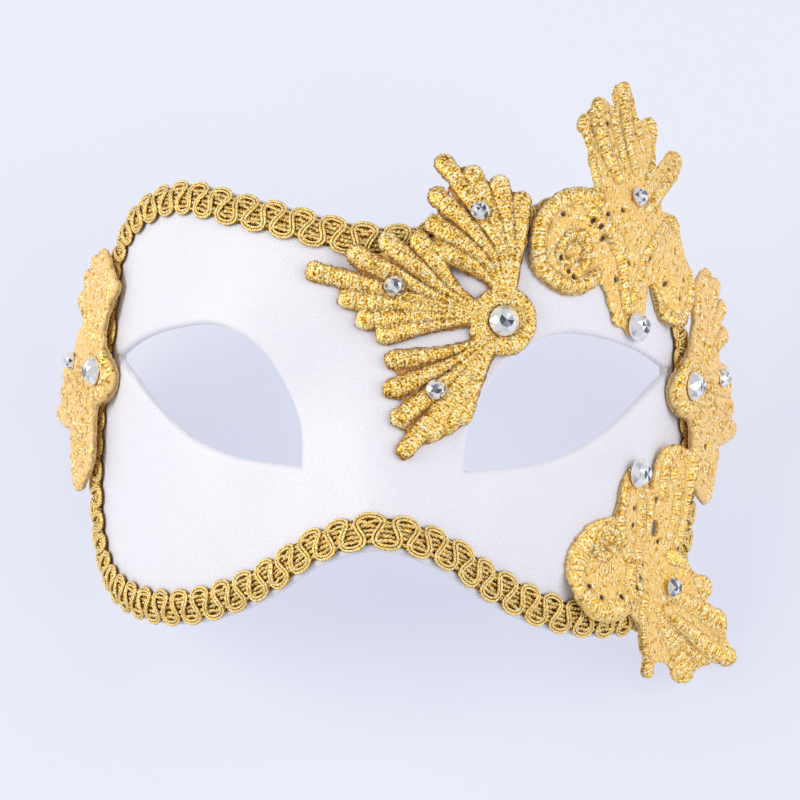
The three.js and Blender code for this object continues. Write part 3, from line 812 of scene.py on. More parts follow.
def satin_material():
    """White woven polyester satin: a smooth sheen with fine slanting ribs of thread, broken into
    short floats, with painted shade in lilac grey in the valleys between the ribs, and clouds of tone about
    17 mm wide.
    Real threads lie about 0.1 mm apart, which is too fine to show, so the ribs are drawn 0.5 mm apart."""
    material = new_material("white_satin")
    uv = add(material, "ShaderNodeUVMap", uv_map="thread")
    slant = add(material, "ShaderNodeMapping", {"Vector": uv.outputs[0],
                                                "Rotation": (0, 0, np.radians(-62))})
    ribs = add(material, "ShaderNodeTexWave", {"Vector": slant.outputs[0], "Scale": WAVE_SCALE / 0.5,
                                               "Distortion": 1.2, "Detail": 2.0, "Detail Scale": 3.0})
    floats = add(material, "ShaderNodeMapping", {"Vector": slant.outputs[0], "Scale": (2.2, 0.9, 1)})
    broken = add(material, "ShaderNodeTexNoise", {"Vector": floats.outputs[0], "Scale": 1.0, "Detail": 2.0})
    cloud = add(material, "ShaderNodeTexNoise", {"Vector": uv.outputs[0], "Scale": 0.06, "Detail": 2.0})
    height = add(material, "ShaderNodeMath", {0: ribs.outputs["Fac"], 1: broken.outputs["Fac"]},
                 operation="MULTIPLY")
    tint = add(material, "ShaderNodeMix", {"Factor": cloud.outputs["Fac"], "A": linear("#f0eff3"),
                                           "B": linear("#fbf9fa")}, data_type="RGBA")
    # painted shade: the low places of the weave are mixed toward lilac grey
    valley = add(material, "ShaderNodeMath", {0: height.outputs[0], 1: 0.7, 2: 0.58},
                 operation="MULTIPLY_ADD", use_clamp=True)
    shade = add(material, "ShaderNodeMix", {"Factor": valley.outputs[0], "A": linear("#cecbd8"),
                                            "B": tint.outputs["Result"]}, data_type="RGBA")
    return finish_material(material, {
        "Base Color": shade.outputs["Result"],
        "Roughness": 0.4,
        "Sheen Weight": 0.15,
        "Sheen Roughness": 0.4,
    }, height.outputs[0], 0.09)


def shell_material():
    """Moulded pulp-like plastic of the shell's back: off-white and matt, with a soft pebble about
    1.1 mm across and patches of tone about 22 mm wide."""
    material = new_material("moulded_shell")
    place = add(material, "ShaderNodeTexCoord")
    pebble = add(material, "ShaderNodeTexNoise", {"Vector": place.outputs["Object"], "Scale": 900.0,
                                                  "Detail": 3.0})
    patches = add(material, "ShaderNodeTexNoise", {"Vector": place.outputs["Object"], "Scale": 45.0,
                                                   "Detail": 2.0})
    tone = add(material, "ShaderNodeMix", {"Factor": patches.outputs["Fac"], "A": linear("#dedbd2"),
                                           "B": linear("#eeece5")}, data_type="RGBA")
    return finish_material(material, {"Base Color": tone.outputs["Result"], "Roughness": 0.7},
                           pebble.outputs["Fac"], 0.12)


def braid_material():
    """Metallic lame thread wound round a core: antique gold with slanting wraps and painted glints drawn out
    along the cord, a pale, less metallic colour where the bump is highest. The colour also holds painted
    light and shade:
    paler on the tops of the cords and brown low on their sides and in the crevices between cords.
    Real wraps lie about 0.3 mm apart, which is too fine to show, so they are drawn 0.6 mm apart."""
    material = new_material("antique_gold_lame")
    uv = add(material, "ShaderNodeUVMap", uv_map="thread")
    slant = add(material, "ShaderNodeMapping", {"Vector": uv.outputs[0], "Rotation": (0, 0, np.radians(35))})
    wraps = add(material, "ShaderNodeTexWave", {"Vector": slant.outputs[0], "Scale": WAVE_SCALE / 0.6,
                                                "Distortion": 3.0, "Detail": 2.0, "Detail Scale": 2.0})
    drawn = add(material, "ShaderNodeMapping", {"Vector": uv.outputs[0], "Scale": (1.0, 2.2, 1.0)})
    dashes = add(material, "ShaderNodeTexNoise", {"Vector": drawn.outputs[0], "Scale": 1.5, "Detail": 3.0})
    upward = add(material, "ShaderNodeAttribute", attribute_name="upward")
    wound = add(material, "ShaderNodeMath", {0: wraps.outputs["Fac"], 1: 0.4}, operation="MULTIPLY")
    height = add(material, "ShaderNodeMath", {0: dashes.outputs["Fac"], 1: 2.2, 2: wound.outputs[0]},
                 operation="MULTIPLY_ADD")
    # painted light and shade: places that face up are paler and places that face down darker
    lit = add(material, "ShaderNodeMath", {0: upward.outputs["Fac"], 1: 0.24, 2: -0.12},
              operation="MULTIPLY_ADD")
    tone = add(material, "ShaderNodeMath", {0: height.outputs[0], 1: 0.42, 2: lit.outputs[0]},
               operation="MULTIPLY_ADD")
    # painted shade in brown at the low end of the bump and painted glints in near-white at its high end
    golds = [(0.2, "#583402"), (0.36, "#b8811a"), (0.5, "#f8c243"), (0.63, "#ffe186"), (0.78, "#fff9d8")]
    gold = add(material, "ShaderNodeValToRGB", {"Fac": tone.outputs[0]}, golds)
    # painted glints: the palest places are made less metallic so they stay bright whatever they mirror
    glint = add(material, "ShaderNodeMapRange", {"Value": tone.outputs[0], "From Min": 0.4, "From Max": 0.75,
                                                 "To Min": 0.85, "To Max": 0.3})
    return finish_material(material, {
        "Base Color": gold.outputs["Color"],
        "Metallic": glint.outputs[0],
        "Roughness": 0.24,
    }, height.outputs[0], 0.15)


def lace_material(name, deep, ground, wrinkle, patch, stitch, foil, groove, depth):
    """Embroidered lace brushed with gold size: peach-gold thread under foil that catches in bright
    wrinkled flakes, most of all on the raised cords. The colour follows the bump's height: painted shade,
    deeper and more orange, where it is low, and painted highlights, near-white and less metallic, where it
    is high.
    There is painted shade in orange between the cords, and in brown only in pinholes and deep grooves.
    Stitches lie across the cords, 0.4 mm apart. deep colours the painted shade in the foil's creases and
    ground the bare thread, wrinkle and patch are sizes of the foil in millimetres, stitch is the strength of
    the stitches, foil the value from which foil shows, groove the share of orange painted shade between
    cords, and depth that of the bump."""
    material = new_material(name)
    uv = add(material, "ShaderNodeUVMap", uv_map="thread")
    place = add(material, "ShaderNodeTexCoord")
    raised = add(material, "ShaderNodeAttribute", attribute_name="raised")
    hollow = add(material, "ShaderNodeAttribute", attribute_name="hollow")
    strand = add(material, "ShaderNodeMapping", {"Vector": uv.outputs[0], "Scale": (1.0, 0.25, 1.0)})
    stitches = add(material, "ShaderNodeTexNoise", {"Vector": strand.outputs[0], "Scale": 2.4,
                                                    "Detail": 1.0})
    wrinkles = add(material, "ShaderNodeTexNoise", {"Vector": place.outputs["Object"], "Detail": 3.0,
                                                    "Scale": 1000 / wrinkle, "Roughness": 0.6})
    crease = add(material, "ShaderNodeTexVoronoi", {"Vector": place.outputs["Object"],
                                                    "Scale": 700 / wrinkle})
    rumple = add(material, "ShaderNodeMath", {0: crease.outputs["Distance"], 1: -0.3,
                                              2: wrinkles.outputs["Fac"]}, operation="MULTIPLY_ADD")
    height = add(material, "ShaderNodeMath", {0: stitches.outputs["Fac"], 1: stitch, 2: rumple.outputs[0]},
                 operation="MULTIPLY_ADD")
    middle = 0.36 + 0.5 * stitch
    spread = 0.19 + 0.06 * stitch
    tone = add(material, "ShaderNodeMapRange", {"Value": height.outputs[0], "From Min": middle - spread,
                                                "From Max": middle + spread})
    # painted shade at the low end of the bump's height and painted highlights at its high end
    foils = [(0.0, deep), (0.26, "#e0a532"), (0.48, "#fecf5a"), (0.64, "#ffe798"), (0.8, "#fffadd")]
    bright = add(material, "ShaderNodeValToRGB", {"Fac": tone.outputs[0]}, foils)
    # painted shade: the low places of the bare thread lean to a deeper orange
    matt = add(material, "ShaderNodeMix", {"Factor": tone.outputs[0], "A": linear("#f8c05e"),
                                           "B": linear(ground)}, data_type="RGBA")
    patches = add(material, "ShaderNodeTexNoise", {"Vector": place.outputs["Object"], "Scale": 1000 / patch,
                                                   "Detail": 3.0})
    catch = add(material, "ShaderNodeMath", {0: raised.outputs["Fac"], 1: 0.18, 2: patches.outputs["Fac"]},
                operation="MULTIPLY_ADD")
    metal = add(material, "ShaderNodeMapRange", {"Value": catch.outputs[0], "From Min": foil,
                                                 "From Max": foil + 0.12})
    gold = add(material, "ShaderNodeMix", {"Factor": metal.outputs[0], "A": matt.outputs["Result"],
                                           "B": bright.outputs["Color"]}, data_type="RGBA")
    # painted shade: orange where the lace is not raised, between the cords
    between = add(material, "ShaderNodeMapRange", {"Value": raised.outputs["Fac"], "From Max": 0.5,
                                                   "To Min": groove, "To Max": 0.0})
    groove_shaded = add(material, "ShaderNodeMix", {"Factor": between.outputs[0], "A": gold.outputs["Result"],
                                           "B": linear("#c67d28")}, data_type="RGBA")
    # painted shade: brown in hollows and pinholes, as given by the hollow attribute
    brown = add(material, "ShaderNodeMix", {"Factor": hollow.outputs["Fac"], "A": groove_shaded.outputs["Result"],
                                            "B": linear("#4a2a08")}, data_type="RGBA")
    # painted highlights: the palest flakes are made less metallic so they stay bright
    glint = add(material, "ShaderNodeMapRange", {"Value": tone.outputs[0], "From Min": 0.4, "From Max": 0.75,
                                                 "To Min": 0.7, "To Max": 0.05})
    shine = add(material, "ShaderNodeMath", {0: metal.outputs[0], 1: glint.outputs[0]}, operation="MULTIPLY")
    rough = add(material, "ShaderNodeMapRange", {"Value": metal.outputs[0], "To Min": 0.45, "To Max": 0.22})
    return finish_material(material, {
        "Base Color": brown.outputs["Result"],
        "Metallic": shine.outputs[0],
        "Roughness": rough.outputs[0],
    }, height.outputs[0], depth)


def stone_material():
    """Foil-backed cut glass under a clear coat: each facet is painted a light or dark grey, a painted
    reflection of the foil mirroring the room.
    """
    material = new_material("foil_backed_glass")
    facet = add(material, "ShaderNodeAttribute", attribute_name="facet")
    greys = [(0.0, "#3a3d45"), (0.22, "#8e949d"), (0.45, "#e6e9ed"), (1.0, "#ffffff")]
    tone = add(material, "ShaderNodeValToRGB", {"Fac": facet.outputs["Fac"]}, greys)
    return finish_material(material, {
        "Base Color": tone.outputs["Color"],
        "Metallic": 0.45,
        "Roughness": 0.08,
        "Coat Weight": 1.0,
        "Coat Roughness": 0.02,
    })


# The satin cover and the shell

def add_satin():
    """The satin's front, cut out one roll short of the outline. Rows of corners then go out and
    round the edge in a half circle, in along the back as a hem, and back inside the same way."""
    u, v, triangles = cut_patch(lambda a, b: cover_reach(a, b) - EDGE_ROLL, *FACE_BOX, STEPS["satin"])
    count = len(u)
    sides = open_sides(triangles)
    ring = np.unique(sides)
    number = np.zeros(count, int)
    number[ring] = np.arange(len(ring))
    corners = np.arange(count)
    slope_u, slope_v = reach_slope(u[ring], v[ring], cover_reach)
    steep = np.hypot(slope_u, slope_v)
    out_u, out_v = -slope_u / steep, -slope_v / steep
    hem = HEM["width"] + HEM["wave"] * grain(u[ring], v[ring], HEM["size"], HEM["seed"])
    turn = np.radians(np.arange(ROLL_STEP, 181, ROLL_STEP))
    quarters = (0.25, 0.5, 0.75, 1)
    middle = -EDGE_ROLL
    inner = EDGE_ROLL - SATIN
    rows = [(np.sin(a) * EDGE_ROLL, middle + np.cos(a) * EDGE_ROLL) for a in turn]
    rows += [(-hem * share, middle - EDGE_ROLL) for share in quarters]
    rows += [(-hem * share, middle - inner) for share in (*quarters[::-1], 0)]
    rows += [(np.sin(a) * inner, middle + np.cos(a) * inner) for a in turn[::-1][1:]]
    swell = layered(u, v, SATIN_SWELL)
    points = [lay(u, v, swell)]
    flat = [np.stack([u, v], 1)]
    for out, height in rows:
        row_u = u[ring] + out_u * out
        row_v = v[ring] + out_v * out
        points.append(lay(row_u, row_v, height + swell[ring]))
        flat.append(np.stack([row_u, row_v], 1))
    points.append(lay(u, v, swell - SATIN))
    flat.append(np.stack([u, v], 1))
    last = count + len(rows) * len(ring)
    numbers = [corners]
    numbers += [count + i * len(ring) + number for i in range(len(rows))]
    numbers += [last + corners]
    faces = [triangles]
    for before, after in zip(numbers, numbers[1:]):
        faces.append(wall(sides, before, after))
    faces.append(triangles[:, ::-1] + last)
    piece = make_piece("satin_cover_sewn", np.vstack(points), np.vstack(faces), satin_material(),
                       ["satin_cover"], uv=np.vstack(flat))


def add_shell():
    """The moulded shell inside the satin: front and back faces a set way down, closed at its edge."""
    u, v, triangles = cut_patch(lambda a, b: cover_reach(a, b) - SHELL["inset"], *FACE_BOX, STEPS["shell"])
    swell = layered(u, v, SATIN_SWELL)
    points = np.vstack([lay(u, v, SHELL["front"] + swell), lay(u, v, SHELL["back"] + swell)])
    make_piece("mask_shell_moulded", points, close_sheet(triangles, len(u)), shell_material(),
               ["mask_shell"], sharp=SHELL["sharp"])


# The gimp braid

def rim_path():
    """Places along the rim and the way along it, for any real distance from its start."""
    line = rim_outline(LINE_STEPS["braid"])
    closed = np.vstack([line, line[:1]])
    laid = lay(closed[:, 0], closed[:, 1], np.full(len(closed), BRAID["base"]))
    run = np.concatenate([[0], np.cumsum(np.linalg.norm(np.diff(laid, axis=0), axis=1))])

    def at(distance):
        def place(nudge):
            return [np.interp((distance + nudge) % run[-1], run, closed[:, k]) for k in (0, 1)]

        before, here, after = place(-NUDGE["rim"]), place(0), place(NUDGE["rim"])
        return *here, after[0] - before[0], after[1] - before[1]

    return at, run[-1]


def step_inward(u, v, du, dv, distance):
    """A flat place moved a real distance at right angles to the rim. The flat step is the one
    whose laid step is the normal crossed with the way along: least squares with the two slopes."""
    slope_u, slope_v = face_slopes(u, v)
    ahead = slope_u * du[:, None] + slope_v * dv[:, None]
    inward = np.cross(ahead, face_normal(u, v))
    inward /= np.linalg.norm(inward, axis=1, keepdims=True)
    uu, uv, vv = (slope_u ** 2).sum(1), (slope_u * slope_v).sum(1), (slope_v ** 2).sum(1)
    iu, iv = (slope_u * inward).sum(1), (slope_v * inward).sum(1)
    size = uu * vv - uv ** 2
    return u + distance * (vv * iu - uv * iv) / size, v + distance * (uu * iv - uv * iu) / size


def loops_line(loop, offset, step):
    """One loop up and one down of a meander that bulges, as the distance along the braid and
    across it: x = loop t - bulge sin 4 pi t, y = reach sin 2 pi t, moved sideways by an offset."""
    t = np.linspace(0, 1, BRAID["loop_steps"])
    way = 2 * np.pi * t
    along = loop * t - BRAID["bulge"] * np.sin(2 * way)
    across = BRAID["reach"] * np.sin(way)
    d_along = loop - 4 * np.pi * BRAID["bulge"] * np.cos(2 * way)
    d_across = 2 * np.pi * BRAID["reach"] * np.cos(way)
    size = np.hypot(d_along, d_across)
    along, across = along - offset * d_across / size, across + offset * d_along / size
    run = np.concatenate([[0], np.cumsum(np.hypot(np.diff(along), np.diff(across)))])
    even = np.linspace(0, run[-1], int(run[-1] / step), endpoint=False)
    return np.interp(even, run, along), np.interp(even, run, across)


def tube(centre, up, radius, sides, wide):
    """A closed tube along a closed line: a circle of the given radius at each place, stretched
    sideways by wide, carried on the line's direction and the face's normal. Also its thread
    coordinates, the run and the way round, and how far up each place faces."""
    along = np.roll(centre, -1, axis=0) - np.roll(centre, 1, axis=0)
    along /= np.linalg.norm(along, axis=1, keepdims=True)
    side = np.cross(along, up)
    side /= np.linalg.norm(side, axis=1, keepdims=True)
    lift = np.cross(side, along)
    run = np.concatenate([[0], np.cumsum(np.linalg.norm(np.diff(centre, axis=0), axis=1))])
    angle = np.linspace(0, 2 * np.pi, sides, endpoint=False)
    across = np.cos(angle)[None, :, None] * side[:, None] * wide
    upward = np.sin(angle)[None, :, None] * lift[:, None]
    points = centre[:, None] + radius[:, None, None] * (across + upward)
    rows = len(centre)
    i = np.arange(rows)[:, None]
    k = np.arange(sides)[None, :]
    here, next_row = i * sides, (i + 1) % rows * sides
    after = (k + 1) % sides
    faces = np.stack([here + k, next_row + k, next_row + after, here + after], -1).reshape(-1, 4)
    uv = np.stack([np.repeat(run, sides), np.tile(angle, rows) * np.repeat(radius, sides)], 1)
    return points.reshape(-1, 3), faces, uv, np.tile(np.sin(angle), rows)


def add_braid():
    """A pair of cords in a meander round the rim, over straight threads drawn up into beads, on a
    thin band of their ends, painted dark as shade."""
    at, length = rim_path()
    loops = round(length / BRAID["loop"])
    loop = length / loops
    tubes = []

    def carry(along, across, height, radius, sides, wide=1.0):
        u, v, du, dv = at(along)
        u, v = step_inward(u, v, du, dv, BRAID["middle"] - across)
        tubes.append(tube(lay(u, v, BRAID["base"] + height), face_normal(u, v), radius, sides, wide))

    cord = BRAID_CORD
    for offset in (-cord["apart"] / 2, cord["apart"] / 2):
        along, across = loops_line(loop, offset, cord["step"])
        along = (along[None, :] + loop * np.arange(loops)[:, None]).ravel()
        across = np.tile(across, loops)
        height = cord["low"] + cord["arch"] * np.exp(-(across / cord["arch_width"]) ** 2)
        radius = cord["radius"] * (1 + layered(along, across, CORD_SWELL))
        carry(along, across, height, radius, cord["sides"])
    beads = BRAID_BEADS
    along = np.arange(loops * beads["steps"]) * loop / beads["steps"]
    for i, across in enumerate(beads["rows"]):
        row = across + 0 * along
        swell = 0.5 + 0.5 * np.cos(4 * np.pi * along / loop + np.pi * (i % 2))
        height = beads["low"] + beads["arch"] * swell
        bulge = np.cos(2 * np.pi * along / loop * beads["each_loop"] + i * np.pi)
        bulge = bulge + layered(along, row, BEAD_SWELL, i)
        radius = beads["radius"] * (1 + beads["drawn"] * bulge)
        carry(along, row + layered(along, row, BEAD_SWAY, i), height, radius, beads["sides"])
    band = BRAID_BAND
    along = np.arange(loops * band["steps"]) * loop / band["steps"]
    level = 0 * along
    carry(along, level, level + band["height"], level + band["radius"], band["sides"], band["wide"])
    start = 0
    faces = []
    for points, quads, _, _ in tubes:
        faces.append(quads + start)
        start += len(points)
    points, uv = (np.vstack([made[k] for made in tubes]) for k in (0, 2))
    upward = np.concatenate([made[3] for made in tubes])
    # painted shade: the band is given a facing value that reads as turned down, so it colours dark
    upward[-len(tubes[-1][0]):] = band["upward"]
    make_piece("gimp_braid_loops", points, np.vstack(faces), braid_material(), ["gimp_braid"],
               uv=uv, layers=dict(upward=upward))


# Lace

def cord_relief(u, v, cords, full):
    """The highest of the domed cords over each place: height times a power of one less the squared
    distance in half widths. Also the run along that cord and the distance across it, or u and v
    between the cords."""
    rise = np.zeros(u.shape)
    run = u.copy()
    across = v.copy()
    for points, half, height in cords:
        line = np.asarray(points, float)
        lengths = np.concatenate([[0], np.cumsum(np.hypot(*np.diff(line, axis=0).T))])
        for i in range(len(line) - 1):
            share, away = bar_share(u, v, line[i], line[i + 1])
            place = lengths[i] + share * (lengths[i + 1] - lengths[i])
            width = half[0] + (half[1] - half[0]) * place / lengths[-1]
            side = np.clip(away / width, 0, 1)
            dome = height * (1 - side ** 2) ** full
            higher = dome > rise
            rise = np.where(higher, dome, rise)
            run = np.where(higher, place, run)
            across = np.where(higher, side * width, across)
    return rise, run, across


def ring_line(middle, radius, start, turn, end_radius=None):
    """Points of an arc or a spiral round a middle."""
    share = np.linspace(0, 1, max(int(abs(turn) / ARC["step"]), ARC["fewest"]))
    radii = radius + ((end_radius or radius) - radius) * share
    angles = np.radians(start + turn * share)
    return np.stack([middle[0] + np.cos(angles) * radii, middle[1] + np.sin(angles) * radii], 1)


def fan_cords(ring, fans, height):
    """A cord along each lobe, as wide as the lobe and as high as a share of its half width, and
    one round the ring."""
    cords = []
    for fan in fans:
        for line, tip in fan_lobes(ring, fan):
            cords.append((line, (LOBE["cord_root"], tip - LOBE["inset"]), height * tip))
    cord = RING_CORD
    cords.append((ring_line(ring, cord["radius"], 0, 360), (cord["half"], cord["half"]), cord["height"]))
    return cords


def scroll_cords(motif):
    """The motif's own cords as smooth lines, and its curls, arcs that wind in."""
    cords = []
    for points, half, height in motif["cords"]:
        line = smooth_line(points, LINE_STEPS["cord"]) + motif["middle"]
        cords.append((line, np.array(half) * SCROLL_CORD["spread"], height * SCROLL_CORD["rise"]))
    for curl in motif["curls"]:
        middle = from_middle(motif, curl["middle"])
        arc = ring_line(middle, curl["radius"], curl["start"], curl["turn"], curl["end"])
        cords.append((arc, curl["half"], curl["height"] * SCROLL_CORD["rise"]))
    return cords


def add_lace(name, groups, web, cords, full, grit, material, flared=False, side=1, stones=(), pits=(),
             window=None, knot=None):
    """A closed sheet of lace, mirrored where side is -1, with a window cut through it where one is
    given. Its top is a rough ground with lumpy, ribbed cords on it, rougher in the knot of a scroll,
    sunk at the pits, flat under the stones and rounded down to its ragged edge; its back is flat."""
    outline = limbs_reach(groups, web)

    def reach(u, v):
        inside = outline(u, v) + layered(u, v, RAGGED_EDGE) - DRAWN_IN
        if window:
            du = (u - window[0]) / window[2]
            dv = (v - window[1]) / window[3]
            inside = np.minimum(inside, (np.hypot(du, dv) - 1) * min(window[2], window[3]))
        return inside

    bars = [bar for limbs in groups for limb in limbs for bar in limb]
    ends = np.array([end for bar in bars for end in bar[:2]])
    margin = max(max(bar[2:]) for bar in bars) + web
    u, v, triangles = cut_patch(reach, ends.min(0) - margin, ends.max(0) + margin, STEPS["lace"])
    rise, run, across = cord_relief(u, v, cords, full)
    rise = rise * (1 + layered(u, v, CORD_LUMPS))
    ribs = np.cos(2 * np.pi * (run + layered(u, v, RIB_SWAY)) / STITCH_RIB["apart"])
    rise = rise + STITCH_RIB["height"] * ribs * np.clip(rise / STITCH_RIB["full_rise"], 0, 1)
    piled = np.exp(-((u - knot[0]) ** 2 + (v - knot[1]) ** 2) / knot[2] ** 2) if knot else np.zeros(u.shape)
    rough = grit * (1 + KNOT["rough"] * piled) * layered(u, v, LACE_GRAIN)
    edge = np.sqrt(np.clip(outline(u, v) / EDGE_ROUND, 0, 1))
    ground = GROUND["thick"] + layered(u, v, GROUND_SWELL)
    top = ground * (GROUND["at_edge"] + (1 - GROUND["at_edge"]) * edge) + rise * edge + rough
    hole = np.zeros(u.shape)
    for pit_u, pit_v in pits:
        away = np.hypot(u - pit_u, v - pit_v)
        hole = np.maximum(hole, np.exp(-(away / PIT["radius"]) ** 2))
    top = top - PIT["depth"] * hole
    for stone_u, stone_v, radius in stones:
        away = np.hypot(u - stone_u, v - stone_v)
        under = 1 - smoothstep(away, radius * BED["inner"], radius + BED["round"])
        top = top + (np.minimum(top, STONE_BED + BED["over"]) - top) * under
    top = np.maximum(top, LACE_THINNEST)
    # painted shade: places lower than the ones round them, and the pinholes, are marked to be coloured brown
    below = hollowness(top, triangles, HOLLOW["passes"]) - HOLLOW["shallow"]
    hollow = HOLLOW["darkest"] * np.clip(below / (HOLLOW["deep"] - HOLLOW["shallow"]), 0, 1)
    hollow = np.maximum(hollow, smoothstep(hole, *PIT["dark"]))
    raised = np.clip(rise / RAISED["rise"] + RAISED["rough"] * rough + KNOT["raised"] * piled, 0, 1)
    points = np.vstack([lay_lace(side * u, v, height, flared) for height in (top, 0 * top)])
    faces = close_sheet(triangles, len(u))
    if side < 0:
        faces = faces[:, ::-1]
    layers = dict(
        raised=np.concatenate([raised, np.zeros(len(u))]),
        hollow=np.concatenate([hollow, np.full(len(u), HOLLOW["back"])]),
    )
    thread = np.tile(np.stack([run, across], 1), (2, 1))
    make_piece(f"lace_{name}_stitched", points, faces, material, [f"lace_{name}"], uv=thread,
               layers=layers, sharp=LACE_SHARP)


# Stones

def add_stone(name, size, spot, flared):
    """A round flat-back: a girdle, a crown of kites and triangles, and an eight-sided table. Every
    facet is painted its own grey, a painted reflection of another part of the room in the foil behind it."""
    diameter = STONE_SIZES[size]
    radius = diameter / 2
    seat, normal = stone_seat(spot, radius, flared)
    k = np.arange(2 * STONE["sides"])
    e = np.arange(STONE["sides"])
    sixteenth = k * np.pi / len(e)
    eighth = e * 2 * np.pi / len(e)

    def ring(share, up, turns):
        return np.stack([np.cos(turns) * radius * share, np.sin(turns) * radius * share,
                         np.full(turns.shape, up * diameter)], 1)

    rings = [
        np.zeros((1, 3)),
        ring(1, 0, sixteenth),
        ring(1, STONE["girdle"], sixteenth),
        ring(STONE["shoulder"], STONE["shoulder_height"], eighth + sixteenth[1]),
        ring(STONE["table"] + STONE["table_rim"], STONE["height"], eighth),
        np.array([[0, 0, diameter * STONE["height"]]]),
    ]
    start = np.cumsum([0] + [len(r) for r in rings])
    after, next_e = (k + 1) % len(k), (e + 1) % len(e)
    faces = np.vstack([
        np.stack([start[0] + 0 * k, start[1] + after, start[1] + k], 1),
        np.stack([start[1] + k, start[1] + after, start[2] + after], 1),
        np.stack([start[1] + k, start[2] + after, start[2] + k], 1),
        np.stack([start[2] + 2 * e, start[2] + 2 * e + 1, start[3] + e], 1),
        np.stack([start[2] + 2 * e + 1, start[2] + 2 * next_e, start[3] + e], 1),
        np.stack([start[2] + 2 * next_e, start[3] + next_e, start[3] + e], 1),
        np.stack([start[3] + e, start[3] + next_e, start[4] + next_e], 1),
        np.stack([start[3] + e, start[4] + next_e, start[4] + e], 1),
        np.stack([start[4] + e, start[4] + next_e, start[5] + 0 * e], 1),
    ])
    shape = np.vstack(rings)
    seed = len(name) * 7 + int(abs(spot[0]) * 3)
    # painted reflections: a random grey for each facet, paler on the girdle and crown, darker on the table
    grey = np.random.default_rng(seed).uniform(0, 1, len(faces))
    crown, table = len(faces) - 6 * len(e), len(faces) - len(e)
    for part, least in ((slice(crown), PALEST["girdle"]), (slice(crown, table), PALEST[size])):
        grey[part] = least + (1 - least) * grey[part]
    grey[table:] = grey[table:] ** 2
    points = shape @ towards(normal).T + seat
    piece = make_piece(f"{name}_cut", points, faces, MATERIALS["stone"], [name])
    piece.data.attributes.new("facet", "FLOAT", "FACE").data.foreach_set("value", grey.astype(np.float32))
    piece.data.shade_flat()


# Assembly

MATERIALS = dict(
    stone=stone_material(),
    glitter=lace_material("glitter_gold_lace", deep="#84500a", ground="#ffd670", wrinkle=0.45, patch=1.1,
                          stitch=0.45, foil=0.4, groove=0.65, depth=0.22),
    stitch=lace_material("stitched_gold_lace", deep="#a87020", ground="#ffde8c", wrinkle=0.5, patch=1.2,
                         stitch=0.9, foil=0.47, groove=0.0, depth=0.18),
    temple=lace_material("temple_gold_lace", deep="#b57c2c", ground="#fde0a8", wrinkle=0.6, patch=2.2,
                         stitch=0.3, foil=0.6, groove=0.0, depth=0.12),
)
LARGE = STONE_SIZES["large"] / 2
SMALL = STONE_SIZES["small"] / 2

add_shell()
add_satin()
add_braid()

centre_stones = [(*CENTRE_RING, LARGE)]
add_stone("rhinestone_centre_ring", "large", CENTRE_RING, False)
for i, fan in enumerate(CENTRE_FANS):
    spot = turned(CENTRE_RING, fan["stone"][1], fan["stone"][0])
    centre_stones.append((*spot, SMALL))
    add_stone(f"rhinestone_centre_fan_{i + 1}", "small", spot, False)
centre_cords = fan_cords(CENTRE_RING, CENTRE_FANS, LOBE["height"])
add_lace("centre", fan_limbs(CENTRE_RING, CENTRE_FANS), LOBE["web"], centre_cords, LOBE["full"],
         LACE_GRIT["centre"], MATERIALS["glitter"], stones=centre_stones)

for name, motif, flared in (("upper", UPPER, False), ("lower", LOWER, True)):
    strap = from_middle(motif, motif["strap_stone"])
    leaf = from_middle(motif, motif["leaf_stone"])
    add_stone(f"rhinestone_{name}_strap", "large", strap, flared)
    add_stone(f"rhinestone_{name}_leaf", "small", leaf, flared)
    knot = (*from_middle(motif, motif["knot"][:2]), motif["knot"][2])
    window = motif.get("window")
    if window:
        window = (*from_middle(motif, window["middle"]), *window["half"])
    add_lace(f"{name}_scroll", scroll_limbs(motif), LEAF["web"], scroll_cords(motif), SCROLL_CORD["full"],
             LACE_GRIT["scroll"], MATERIALS["stitch"], flared=flared,
             stones=[(*strap, LARGE), (*leaf, SMALL)],
             pits=[from_middle(motif, pit) for pit in motif["pits"]], window=window, knot=knot)

for name, side in (("right", 1), ("left", -1)):
    fans = TEMPLE_FANS[name]
    distance, angle = fans[1]["stone"]
    fan_spot = turned(TEMPLE_RING, angle, distance)
    for part, size, spot in (("ring", "large", TEMPLE_RING), ("fan", "small", fan_spot)):
        add_stone(f"rhinestone_temple_{name}_{part}", size, (side * spot[0], spot[1]), False)
    cords = fan_cords(TEMPLE_RING, fans, TEMPLE_BODY["cord_height"])
    add_lace(f"temple_{name}", temple_limbs(fans), TEMPLE_BODY["web"], cords, LOBE["full"],
             LACE_GRIT["temple"], MATERIALS["temple"], side=side,
             stones=[(*TEMPLE_RING, LARGE), (*fan_spot, SMALL)], pits=TEMPLE_PITS[name])


# Floor, light and camera

# The camera as it looks at the worn mask: its distance in millimetres, and its focal length and
# shift in pixels of a square picture of the given side. Softboxes are place, size, power, colour.
CAMERA = dict(yaw=2.4878, pitch=5.2639, roll=1.31, distance=579.72, focal=2527.67, shift=(17.30, 68.36))
PHOTO_SIDE = 800
SENSOR = 36
FLOOR_HALF = 3.0
SOFTBOXES = dict(
    key_softbox=((-1.05, 0.08, 0.8), 0.8, 10.4, "#fffefa"),
    fill_softbox=((1.05, -0.02, 0.8), 1.1, 9, "#fcfcff"),
)


def add_floor():
    """A wide sheet of pale studio paper."""
    half = FLOOR_HALF
    mesh = bpy.data.meshes.new("studio_floor")
    corners = [(-half, -half, 0), (half, -half, 0), (half, half, 0), (-half, half, 0)]
    mesh.from_pydata(corners, [], [(0, 1, 2, 3)])
    floor = bpy.data.objects.new("studio_floor", mesh)
    bpy.context.collection.objects.link(floor)
    material = new_material("studio_paper")
    mesh.materials.append(finish_material(material, {
        "Base Color": linear("#95977c"),
        "Roughness": 0.9,
        "Emission Color": linear("#d4d7f9"),
        "Emission Strength": 0.75,
    }))


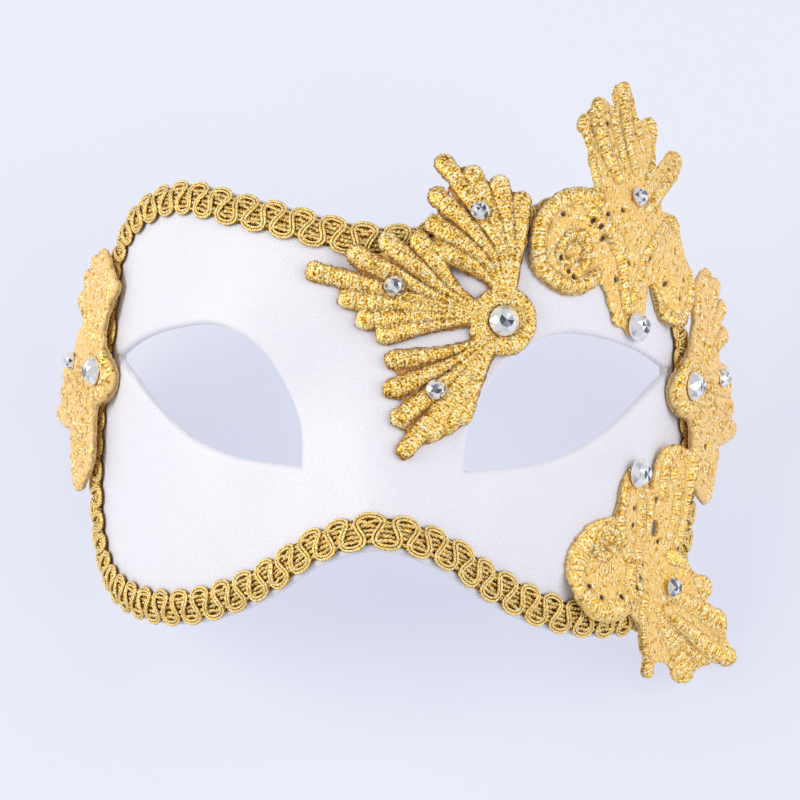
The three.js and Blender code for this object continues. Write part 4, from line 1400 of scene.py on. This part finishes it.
def add_light(name, place, size, power, colour):
    """A square soft light aimed at the middle of the mask."""
    lamp = bpy.data.lights.new(name, "AREA")
    lamp.shape = "SQUARE"
    lamp.size = size
    lamp.energy = power
    lamp.color = linear(colour)[:3]
    light = bpy.data.objects.new(name, lamp)
    z = np.array(place) / np.linalg.norm(place)
    x = np.cross([0, 1, 0.01], z)
    x /= np.linalg.norm(x)
    turn = Matrix(np.stack([x, np.cross(z, x), z], 1).tolist()).to_4x4()
    light.matrix_world = Matrix.Translation(place) @ turn
    bpy.context.collection.objects.link(light)


def add_world():
    """An even pale room."""
    world = bpy.data.worlds.new("pale_room")
    world.use_nodes = True
    background = world.node_tree.nodes["Background"]
    background.inputs["Color"].default_value = linear("#ecedf5")
    background.inputs["Strength"].default_value = 0.58
    bpy.context.scene.world = world


def add_camera():
    """The photograph's camera, worked out against the worn mask and turned with it."""
    yaw, pitch, roll = np.radians([CAMERA["yaw"], CAMERA["pitch"], CAMERA["roll"]])
    ahead = -np.array([np.sin(yaw) * np.cos(pitch), np.sin(pitch), np.cos(yaw) * np.cos(pitch)])
    right = np.cross(ahead, [0, 1, 0])
    right /= np.linalg.norm(right)
    up = np.cross(right, ahead)
    right, up = np.cos(roll) * right + np.sin(roll) * up, np.cos(roll) * up - np.sin(roll) * right
    place = (TURN @ (-ahead * CAMERA["distance"]) + SHIFT) / 1000
    turn = TURN @ np.stack([right, up, -ahead], 1)
    lens = bpy.data.cameras.new("photo_camera")
    lens.sensor_width = SENSOR
    lens.lens = CAMERA["focal"] * SENSOR / PHOTO_SIDE
    lens.shift_x = CAMERA["shift"][0] / PHOTO_SIDE
    lens.shift_y = CAMERA["shift"][1] / PHOTO_SIDE
    lens.clip_start = 0.05
    camera = bpy.data.objects.new("photo_camera", lens)
    camera.matrix_world = Matrix.Translation(place) @ Matrix(turn.tolist()).to_4x4()
    bpy.context.collection.objects.link(camera)
    bpy.context.scene.camera = camera


add_floor()
add_world()
for name, softbox in SOFTBOXES.items():
    add_light(name, *softbox)
add_camera()
bpy.context.scene.view_settings.view_transform = "Standard"
